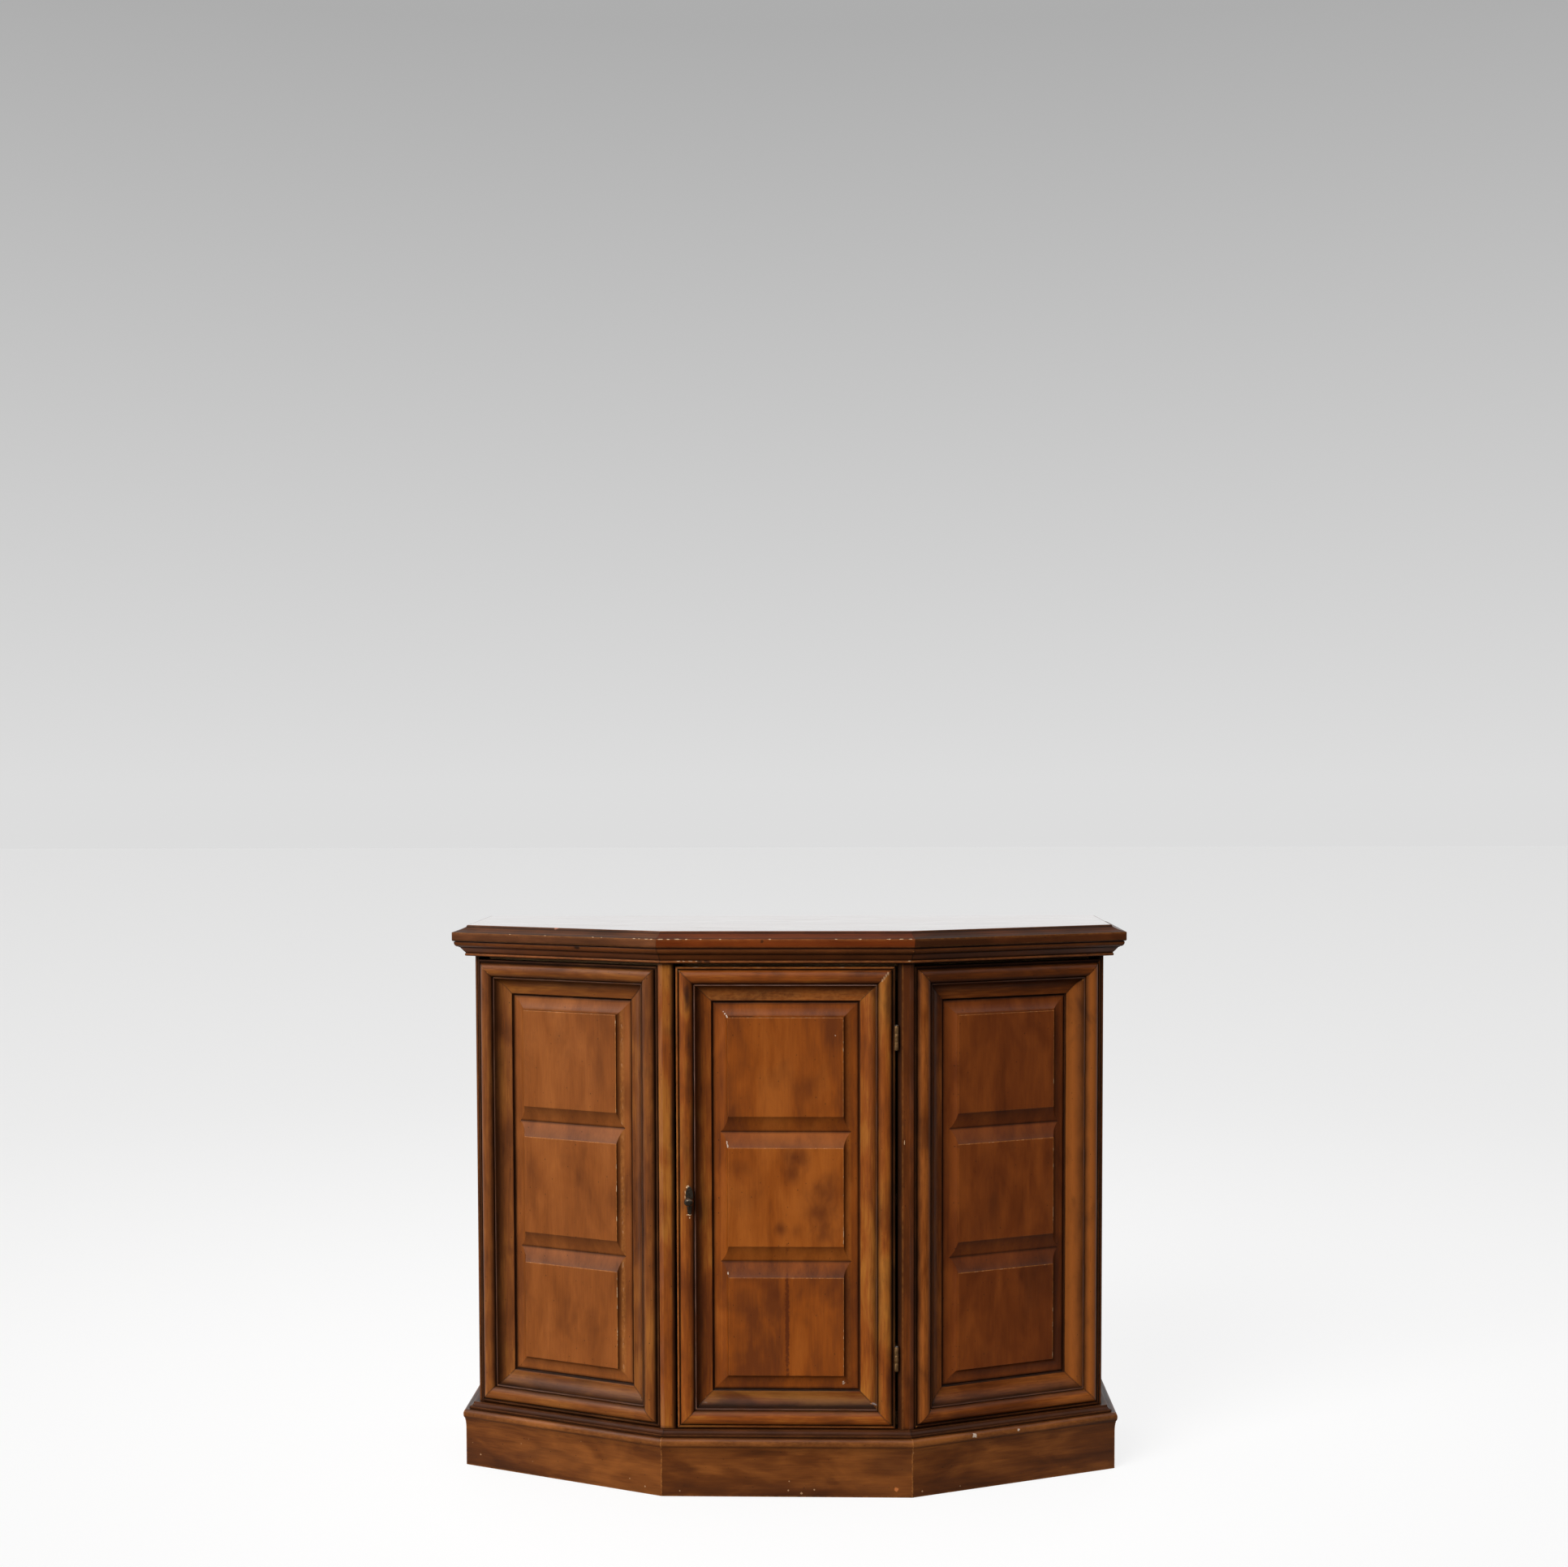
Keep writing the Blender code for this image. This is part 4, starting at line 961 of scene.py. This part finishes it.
def knob_and_plate(bronze):
    """The long back plate with its nail, and the oval knob on it."""
    plate_y = LIP_Y - PLATE_LIFT - CLEAR
    right = [
        (0.0, 18.8), (1.3, 18.0), (2.6, 16.2), (3.8, 14.0), (4.6, 11.6), (5.0, 9.0), (5.0, 4.0), (4.7, 0.0),
        (4.4, -4.0), (3.6, -8.0), (3.1, -11.6), (2.8, -14.0), (2.5, -16.6), (1.4, -18.2), (0.0, -18.8),
    ]
    outline = right + [(-x, z) for x, z in right[-2:0:-1]]
    rings = []
    for out, shrink in ((0.0, 1.0), (0.7, 1.0), (1.0, 0.96), (1.2, 0.86)):
        across, up = shrink * MM, (0.6 + 0.4 * shrink) * MM
        rings.append([(KNOB_X + x * across, plate_y - out * MM, KNOB_Z + z * up) for x, z in outline])
    plate = to_mesh("knob_plate_face", closed_bmesh(rings), 50)
    finish_piece("knob_plate_face", plate, bronze, "door", ["knob_plate"], "dark_bronze")

    axes = (RIGHT, UP, -BACK)
    profile = [
        (4.5, 3.8, 0.0), (4.3, 3.5, 0.9), (3.0, 2.5, 1.8), (2.6, 2.1, 3.2), (2.65, 2.15, 4.6),
        (3.8, 3.1, 6.2),
    ]
    for i in range(9):
        angle = math.radians(-35 + 115 * i / 8)
        share = math.cos(angle) ** 0.8
        profile.append((6.3 * share, 5.95 * share, 10.6 + 5.6 * math.sin(angle)))
    front = Vector((KNOB_X, plate_y - PLATE_THICK, KNOB_Z))
    turned("knob_face", front - BACK * CLEAR, axes, 32, 60, profile, bronze, "door", ["knob"], "dark_bronze")
    profile = [(0.9, 0.9, 0.0), (0.9, 0.9, 0.25), (0.7, 0.7, 0.55), (0.3, 0.3, 0.7)]
    spot = front + UP * NAIL_RISE
    turned("knob_plate_nail", spot, axes, 16, 50, profile, bronze, "door", [], "dark_bronze")


def flap(name, bottom, side, material, body, nodes):
    """One leaf's flat plate, with eased edges."""
    inner = HINGE_X + side * LEAF_GAP
    near, far = (HINGE_Y + wide for wide in LEAF_WIDE)
    top = bottom + HINGE_TALL
    rings = []
    for x in (inner, inner + side * LEAF_THICK):
        rings.append([(x, near, bottom), (x, far, bottom), (x, far, top), (x, near, top)])
    bm = closed_bmesh(rings)
    bmesh.ops.bevel(bm, geom=bm.edges[:], offset=0.0002, segments=2, affect="EDGES")
    finish_piece(name, to_mesh(name, bm, 40), material, body, nodes, "aged_brass")


def screw(name, side, back, z, material, body):
    """A screw head, sunk into the leaf's open face."""
    base = Vector((HINGE_X + side * SCREW_FACE, HINGE_Y + back, z))
    profile = ((2.1, 2.1, 0.3), (2.1, 2.1, 0.0), (1.7, 1.7, -0.02), (0.2, 0.2, -0.03))
    turned(name, base, (BACK, UP, RIGHT * side), 20, 30, profile, material, body, [], "steel")


def hinge(word, bottom, brass, steel):
    """A leaf on the door and one on the post, with knuckles and screws, and the pin."""
    axes = (RIGHT, BACK, UP)
    base = Vector((HINGE_X, HINGE_Y, bottom))
    for leaf, body, knuckles, side in (("door", "door", (1,), -1), ("post", "cabinet", (0, 2), 1)):
        node = f"{word}_hinge_{leaf}_leaf"
        for k in knuckles:
            low = (HINGE_TALL * k / 3 + HAIR) / MM
            high = (HINGE_TALL * (k + 1) / 3 - HAIR) / MM
            rows = ((2.58, low), (2.7, low + 0.2), (2.7, high - 0.2), (2.58, high))
            profile = [(r, r, z) for r, z in rows]
            name = f"{word}_hinge_{leaf}_knuckle_{k}"
            turned(name, base, axes, 24, 40, profile, brass, body, [], "aged_brass")
        flap(f"{node}_plate", bottom, side, brass, body, [node])
        for k, (share, back) in enumerate(((0.2, 9 * MM), (0.5, 13 * MM), (0.8, 9 * MM))):
            screw(f"{node}_screw_{k}", side, back, bottom + HINGE_TALL * share, brass, body)
    over = HINGE_TALL / MM + 0.3
    rows = ((1.2, -0.4), (1.2, over), (2.3, over), (2.3, over + 0.6), (1.6, over + 1.3), (0.6, over + 1.6))
    profile = [(r, r, z) for r, z in rows]
    node = f"{word}_hinge_pin"
    turned(f"{node}_face", base, axes, 24, 40, profile, steel, "cabinet", [node], "steel")


def on_front(x, z, inset):
    """A point on a front face, from millimetres."""
    return Vector((x * MM, FACE_Y + inset * MM, z * MM))


def on_canted(side, along, z, inset):
    """A point on a canted face, from millimetres along it."""
    return Vector((*canted_point(side, along * MM, inset * MM), z * MM))


def round_mark(spot, radius, paint, strength, soft=0.0):
    return spot, (radius * MM,) * 3, paint, strength, soft


def long_mark(spot, half_x, half_z, paint, strength, soft=0.0):
    """A mark that is longer one way, on a face that looks forward."""
    return spot, (half_x * MM, 6 * MM, half_z * MM), paint, strength, soft


def long_marks(inset, paint, strength, soft, *rows):
    """Long marks on a front face, from rows of (x, z, half width, half height)."""
    return [long_mark(on_front(x, z, inset), *half, paint, strength, soft) for x, z, *half in rows]


def frame_marks():
    """Bare wood where the knob's plate has rubbed, dark patches on the door's frame, and light lines and
    painted highlights at its mitres.
    """
    made = long_marks(8.6, BARE, 0.85, 0.0, (-130.6, 409.0, 1.4, 0.9), (-129.0, 411.0, 1.4, 0.8))
    made += long_marks(8.6, CHIP, 0.85, 0.0, (-132.6, 402.5, 0.6, 2.2), (-133.0, 396.5, 0.6, 1.8))
    made += long_marks(8.6, BARE, 0.85, 0.0, (-127.2, 372.8, 3.2, 0.9), (-127.0, 368.6, 0.9, 0.8))
    for inset, strength, row in (
        (9, 1.0, (-128.5, 662, 6.5, 26)), (9, 1.0, (-127.0, 600, 5.5, 28)), (9, 0.6, (-128.0, 548, 4.0, 34)),
        (18, 0.8, (-112.0, 664, 14.0, 6.5)), (20, 0.75, (-114.5, 380, 5.5, 28)),
        (20, 0.5, (-111.5, 215, 5.0, 34)), (9, 0.7, (98.0, 692, 30.0, 6.0)), (9, 0.7, (133.0, 655, 6.0, 50)),
        (18, 0.7, (108.0, 664, 16.0, 6.5)), (9, 0.6, (134.0, 150, 5.5, 60)),
    ):
        made += long_marks(inset, SOOT, strength, 0.8, row)
    # Light lines along the top mitres, partly rubbed chips and partly painted highlights.
    left = ((-141.8, 695.6), (-140.2, 693.6))
    right = ((126.0, 681.5), (128.5, 684.5), (131.0, 687.5), (133.5, 690.5))
    for x, z in left + right:
        made += long_marks(9, CHIP, 0.55, 0.3, (x, z, 1.5, 2.4))
    # Pale patches at the hollow's lower mitres are painted highlights.
    return made + long_marks(17, PAINTED_MITRE_HIGHLIGHT, 0.7, 0.5, (-109.0, 119.5, 5.0, 1.7), (115.0, 119.5, 5.0, 1.7))


def post_marks():
    """A long knock on the post beside the hinges."""
    return long_marks(14.0, BARE, 0.7, 0.0, (154.8, 467.5, 0.6, 2.6))


def panel_marks():
    """Stains and a glued seam in the door's fields, a dark line along the top field's upper edge, painted
    highlights at the fields' upper left corners, and chips.
    """
    made = []
    for x, z, radius, strength in (
        (11, 446, 22, 0.85), (6, 424, 15, 0.70), (52, 400, 26, 0.75), (46, 372, 30, 0.75),
        (50, 346, 24, 0.70), (-62, 432, 16, 0.35), (-8, 352, 12, 0.80), (14, 350, 12, 0.40),
        (20, 540, 22, 0.40), (-60, 290, 11, 0.50), (-44, 286, 12, 0.55), (-28, 277, 12, 0.55),
        (-15, 264, 10, 0.50),
    ):
        made.append(round_mark(on_front(x, z, 21.3), radius, STAIN, strength, 1.0))
    made += long_marks(21.3, STAIN, 0.9, 0.35, (0.5, 226, 3.0, 100))
    # The pale marks by the fields' upper left corners are painted highlights.
    chips = (
        (-82.6, 638.6, 0.9, 0.9), (-80.6, 636.2, 0.9, 1.0), (-78.6, 633.6, 0.8, 1.2),
        (-77.2, 631.8, 1.3, 0.9), (64.5, 607.7, 0.8, 0.8), (-78.6, 465.5, 0.8, 2.4),
        (-77.4, 461.5, 0.9, 2.2), (-77.6, 292.0, 0.7, 2.2),
    )
    made += long_marks(23, DULL_WHITE, 0.85, 0.1, *chips)
    made += long_marks(23, SOOT, 0.6, 0.3, (-68, 632.6, 7, 1.3), (-50, 632.6, 10, 1.3))
    return made + long_marks(24, DULL_WHITE, 0.9, 0.0, (74.7, 144.0, 2.0, 4.0))


def plinth_marks():
    """Knocks along the foot and on the nosed edge."""
    left = ((206, 49, 0.9), (218, 41, 1.1), (123, 57, 0.9), (297, 32, 0.8), (284, 17, 1.6), (200, 19, 0.9))
    left += ((48, 17, 1.2), (25, 9.5, 1.7))
    front = ((-141, 7.5, 1.4), (3, 21, 1.2), (2, 9, 1.4), (36, 10, 1.6), (19, 5.5, 2.2))
    right = ((1, 60, 1.3), (14, 7, 1.6), (70, 6.6, 1.2))
    chips = [(on_canted(-1, along, z, 0), size) for along, z, size in left]
    chips += [(on_front(x, z, 0), size) for x, z, size in front]
    chips += [(on_canted(1, along, z, 0), size) for along, z, size in right]
    made = [round_mark(spot, size * CHIP_SHARE, CHIP, 0.6) for spot, size in chips]
    made.append(round_mark(on_front(144, 11, 0), 2.4, FRESH_KNOCK, 0.8))
    for along, radius in ((90, 2.9), (156, 1.6)):
        made.append(round_mark(on_canted(1, along, 73, -3.5), radius, DULL_WHITE, 0.75))
    return made


def top_marks():
    """Chips along the slab's arris and one at the surface's edge."""
    arris = 736.7
    left = ((221, 1.6), (166, 1.3), (92, 1.4), (79, 1.2), (30, 2.4), (22, 1.6), (12, 3.0), (4, 2.0))
    front = ((-161, 3.2), (-152, 2.2), (-140, 3.5), (-128, 1.6), (-110, 1.6), (-84, 1.3), (-20, 1.5))
    front += ((66, 1.4), (97, 1.6), (134, 2.2), (150, 2.8), (162, 2.2))
    made = []
    for along, half in left:
        made.append(long_mark(on_canted(-1, along, arris, -11.5), half * 0.8, 0.42, BARE, 0.6))
    made += long_marks(-11.5, BARE, 0.65, 0.0, *[(x, arris, half, 0.45) for x, half in front])
    made.append(round_mark(on_front(-30, arris - 3, -11.5), 2.0, GLAZE_AND_SHADE, 0.7))
    made.append(round_mark(on_canted(-1, 160, 746, 8.5), 3.0, PINK, 0.9))
    return made


def trim_marks():
    """Rubbed paint along the cornice's bead, and a nick in its upper edge."""
    bead = 706.2
    rubs = ((-140, 2.2), (-133, 1.4), (-124, 2.4), (-116, 1.6), (161, 1.7))
    made = long_marks(4.5, BARE, 0.55, 0.0, *[(x, bead + 0.7, half, 0.5) for x, half in rubs])
    made += long_marks(4.5, GLAZE_AND_SHADE, 0.8, 0.3, (-112, bead, 4.0, 1.8), (-103, bead, 4.5, 1.8))
    made.append(long_mark(on_canted(-1, 118, 722, -9), 4.0, 2.2, GLAZE_AND_SHADE, 0.85))
    return made


def floor():
    """A wide pale floor that keeps the object's shadow and fades to the backdrop's grey.

    It glows for the camera, but for the ground inside the plinth, which stays dark.
    """
    mesh = bpy.data.meshes.new("studio_floor")
    sides = ((-1, -1), (1, -1), (1, 2), (-1, 2))
    mesh.from_pydata([(x * FLOOR_HALF, y * FLOOR_HALF, -0.0002) for x, y in sides], [], [(0, 1, 2, 3)])
    n = Nodes(bpy.data.materials.new("studio_floor"))
    place = n.place()
    x, y, _ = n.separate(place)
    away = n.vector("LENGTH", n.vector("MULTIPLY", place, (1.0, 1.0, 0.0)))
    past = n.math("MAXIMUM", n.math("SUBTRACT", away, 0.5), 0.0)
    level = n.add(n.math("DIVIDE", 0.782, n.add(2.9, past)), HORIZON)
    level = n.times(level, n.fit(away, 0.9, 4.0, 1.0, 0.955, smooth=True))
    seen = n.from_camera()
    paper = n.fit(y, -0.4, 0.5, 0.05, 0.50, smooth=True)
    grey = n.between(seen, paper, n.times(level, FLOOR_SHARE))
    across = n.math("ABSOLUTE", x)
    slope = math.tan(CANT)
    canted_face = FACE_Y - FRONT_HALF * slope + HALF_BOARD / math.cos(CANT)
    canted = n.math("MULTIPLY_ADD", across, slope, canted_face)
    edge = n.math("MAXIMUM", canted, FACE_Y + HALF_BOARD)
    under = n.times(n.math("GREATER_THAN", y, edge), n.math("LESS_THAN", y, WALL_Y - 0.005))
    under = n.times(under, n.math("LESS_THAN", across, PLINTH_HALF - HALF_BOARD))
    glow = n.times(n.times(level, FLOOR_GLOW), n.math("SUBTRACT", 1.0, under))
    n.finish({
        "Base Color": n.put("CombineColor", {0: grey, 1: grey, 2: grey}).outputs[0],
        "Roughness": 0.9,
        "Specular IOR Level": 0.1,
        "Emission Color": (1, 1, 1, 1),
        "Emission Strength": n.times(glow, seen),
    })
    mesh.materials.append(n.owner)
    obj = bpy.data.objects.new("studio_floor", mesh)
    bpy.context.collection.objects.link(obj)


def studio():
    """A large soft key from the upper left and a room that is bright above and behind."""
    key = bpy.data.lights.new("key", "SUN")
    key.energy = KEY_STRENGTH
    key.angle = math.radians(38)
    key.color = (1.0, 0.985, 0.96)
    lamp = bpy.data.objects.new("key", key)
    lamp.rotation_euler = KEY_TOWARD.to_track_quat("-Z", "Y").to_euler()
    lamp.visible_glossy = False
    bpy.context.collection.objects.link(lamp)

    n = Nodes(bpy.data.worlds.new("studio"), "Background")
    bpy.context.scene.world = n.owner
    toward = n.put("TexCoord").outputs["Generated"]
    x, y, z = n.separate(toward)

    def soft(value, *limits):
        return n.fit(value, *limits, smooth=True)

    behind = n.times(soft(y, -0.55, 0.35, 0.05, 0.90), soft(x, 0.35, 0.75, 1.0, 0.22))
    behind = n.times(behind, soft(x, -0.60, -0.95, 1.0, 0.40))
    behind = n.times(behind, soft(z, 0.25, 0.60, 1.0, 0.25))
    above = n.times(soft(z, 0.10, 0.75, 0.0, 0.68), soft(y, 0.15, 0.70, 1.0, 0.2))
    total = n.add(n.math("MAXIMUM", behind, above), soft(x, -0.1, -0.95, 0.0, 0.34))
    facing = n.vector("DOT_PRODUCT", toward, SOFTBOX)
    total = n.add(total, soft(facing, 0.945, 0.975, 0.0, SOFTBOX_LEVEL))
    backdrop = n.fit(z, 0.0, 0.33, HORIZON, 0.42)
    n.finish({"Color": (1, 1, 1, 1), "Strength": n.between(n.from_camera(), total, backdrop)})


def camera():
    """The camera at the photograph's viewing angle."""
    made = bpy.data.cameras.new("camera")
    made.lens = CAMERA_LENS
    made.sensor_width = 36.0
    made.shift_y = CAMERA_SHIFT
    made.clip_end = 100.0
    obj = bpy.data.objects.new("camera", made)
    obj.location = CAMERA_PLACE
    obj.rotation_euler = [math.radians(turn) for turn in CAMERA_TURN]
    bpy.context.collection.objects.link(obj)
    bpy.context.scene.camera = obj


def door_face():
    """The door's frame and panel. It returns the frame's wood, which the left post shares."""
    frame_wood = wood("frame_wood", stained=0.5, streaked=0.46, marks=frame_marks())
    panel_wood = wood(
        "panel_wood", (0.32, 0.086, 0.011), (0.235, 0.056, 0.006), stained=0.22, marks=panel_marks()
    )
    # Rows of (lip glaze, lip wear, cove glaze, sheen, cove wear) for the knob stile, hinge stile, top and
    # bottom rail: the hinge stile's dark lip is painted shade, the hollow is darker at the bottom rail, and
    # sheen paints a highlight on the fillet.
    lips = (
        (0.10, 0.45, 0.06, 0.8), (0.88, 0.0, 0.0, 0.3), (0.06, 0.60, -0.15, 0.85, 0.45),
        (0.45, 0.1, 0.42, 0.5),
    )
    panelled_face(
        "door", ("knob", "hinge"), door_place, DOOR_RIGHT - DOOR_LEFT, (frame_wood, panel_wood), "door",
        seed=1, tones=(-0.03, 0.02, -0.21, 0.08), lips=lips, panel_tones=(-0.11, 0.10, -0.02), golden=0.3,
    )
    return frame_wood


def canted_faces(frame_wood, trim_wood):
    """The two canted sides, each with its corner post and end post."""
    left = wood(
        "left_frame_wood", (0.29, 0.100, 0.018), (0.18, 0.053, 0.011), (0.095, 0.027, 0.007),
        stained=0.5, streaked=0.46,
    )
    left_panel = wood(
        "left_wood", (0.30, 0.092, 0.019), (0.215, 0.061, 0.012), (0.115, 0.032, 0.008),
        figured=0.8, stained=0.22,
    )
    # The right side's woods, the panel's most, are darker than the left's, which paints part of that side's
    # shade into their colour.
    right = wood(
        "right_frame_wood", (0.295, 0.085, 0.015), (0.155, 0.038, 0.006), (0.080, 0.020, 0.004),
        stained=0.6, streaked=0.46, shine=0.30, marks=post_marks(),
    )
    right_panel = wood(
        "right_wood", (0.210, 0.050, 0.007), (0.145, 0.032, 0.005), (0.085, 0.018, 0.003),
        figured=1.2, stained=0.3,
    )
    width = CANTED_END - CANTED_START
    # The canted frames' lips are dark all round, painted shade; sheen paints a highlight on the fillet.
    lips = ((0.72, 0.0, 0.05, 0.30), (0.72, 0.0, 0.05, 0.15), (0.72, 0.0, 0.05, 0.35), (0.72, 0.0, 0.2, 0.4))
    panelled_face(
        "left_canted", ("outer", "inner"), canted_place(-1), width, (left, left_panel), "cabinet",
        seed=10, tones=(-0.04, -0.02, 0.0, 0.06), lips=lips, panel_tones=(0.02, 0.04, 0.02), golden=1.0,
    )
    corner_post(-1, "left", frame_wood, seed=16, tone=0.06, edge_worn=0.0, sheen=-0.12)
    end_post(-1, "left", trim_wood, seed=17)
    # The right frame's inner stile has the darkest lip, painted shade by the corner post.
    lips = ((0.98, 0.0, 0.05, 0.15), (0.72, 0.0, 0.05, 0.45), (0.80, 0.0, 0.05, 0.4), (0.72, 0.0, 0.2, 0.4))
    panelled_face(
        "right_canted", ("inner", "outer"), canted_place(1), width, (right, right_panel), "cabinet",
        seed=20, tones=(0.12, 0.27, -0.10, 0.08), lips=lips, panel_tones=(0.0, 0.10, 0.0), golden=0.0,
    )
    corner_post(1, "right", right, seed=26, tone=-0.20, edge_worn=0.35, sheen=-0.06)
    end_post(1, "right", trim_wood, seed=27)


def trim(trim_wood):
    """The top, the cornice, the base cap and the plinth, each in five lengths."""
    edge = wood(
        "edge_wood", (0.19, 0.037, 0.0045), (0.122, 0.022, 0.003), (0.064, 0.013, 0.003),
        mitre="none", marks=top_marks(), shine=0.30,
    )
    side_edge = wood(
        "side_edge_wood", (0.17, 0.055, 0.018), (0.105, 0.034, 0.011), (0.055, 0.019, 0.007),
        mitre="none", marks=top_marks(), shine=0.30,
    )
    right_edge = wood(
        "right_edge_wood", (0.160, 0.043, 0.010), (0.098, 0.026, 0.0065), (0.052, 0.015, 0.0045),
        mitre="none", shine=0.26,
    )
    top_wood = wood(
        "top_wood", (0.15, 0.040, 0.008), (0.10, 0.027, 0.006), (0.06, 0.017, 0.005),
        mitre="none", roughness=0.22, coat=1.0, marks=top_marks(),
    )
    plinth_wood = wood(
        "plinth_wood", (0.22, 0.068, 0.013), (0.112, 0.031, 0.006), (0.052, 0.015, 0.004),
        mitre="rubbed", figured=1.2, stained=0.45, marks=plinth_marks(),
    )
    edges = (edge, side_edge, right_edge, side_edge, right_edge)
    mouldings("top_edge", top_section(), edges, "top_board", 30, (0.06, 0.05, -0.14, 0, 0))
    top_field(top_wood, 36)
    mouldings("cornice_run", cornice_section(), [trim_wood] * 5, "cornice_{}", 40)
    mouldings("base_cap_run", cap_section(), [trim_wood] * 5, "base_cap_{}", 50)
    mouldings("plinth_run", plinth_section(), [plinth_wood] * 5, "plinth_{}", 60)


def plain_materials(steel):
    """The materials of the nodes that keep their solid's shape."""
    end_wood = wood("end_wood", (0.24, 0.072, 0.014), (0.17, 0.045, 0.010), swap="YZX")
    across = wood(
        "inside_across", (0.42, 0.24, 0.11), (0.31, 0.165, 0.07), (0.22, 0.11, 0.045),
        swap="YXZ", specks=0.3, roughness=0.5,
    )
    upwards = wood(
        "inside_up", (0.40, 0.23, 0.11), (0.30, 0.16, 0.07), (0.21, 0.105, 0.045),
        swap="XZY", specks=0.3, roughness=0.6,
    )
    plastic = metal("plastic", (0.055, 0.032, 0.02), (0.07, 0.042, 0.026), 0.5, metallic=0.0)
    plain = dict.fromkeys(("left_end_panel", "right_end_panel"), end_wood)
    plain |= {"back_panel": upwards, "catch_housing": plastic, "catch_strike": steel}
    boards = "cornice_back plinth_back header_front header_left_canted header_right_canted case_floor shelf"
    return plain | dict.fromkeys(boards.split(), across)


def main():
    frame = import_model()
    bronze = metal("bronze", (0.085, 0.066, 0.048), (0.16, 0.125, 0.092), 0.11, wear=0.3, metallic=0.85)
    brass = metal("brass", (0.23, 0.120, 0.045), (0.42, 0.240, 0.10), 0.40, metallic=0.75)
    steel = metal("steel", (0.32, 0.31, 0.29), (0.50, 0.49, 0.47), 0.34)
    trim_wood = wood(
        "trim_wood", (0.21, 0.056, 0.012), (0.135, 0.036, 0.008), (0.070, 0.020, 0.006),
        marks=trim_marks(), shine=0.36,
    )
    canted_faces(door_face(), trim_wood)
    trim(trim_wood)
    knob_and_plate(bronze)
    hinge("lower", DOOR_BOTTOM + HINGE_INSET, brass, steel)
    hinge("upper", DOOR_TOP - HINGE_INSET - HINGE_TALL, brass, steel)

    plain = plain_materials(steel)
    for name, obj in frame["nodes"].items():
        material = steel if name.startswith("shelf_pin") else plain.get(name)
        if material:
            for slot in obj.material_slots:
                slot.material = material

    floor()
    studio()
    camera()
    bpy.context.scene.view_settings.view_transform = "Standard"


main()
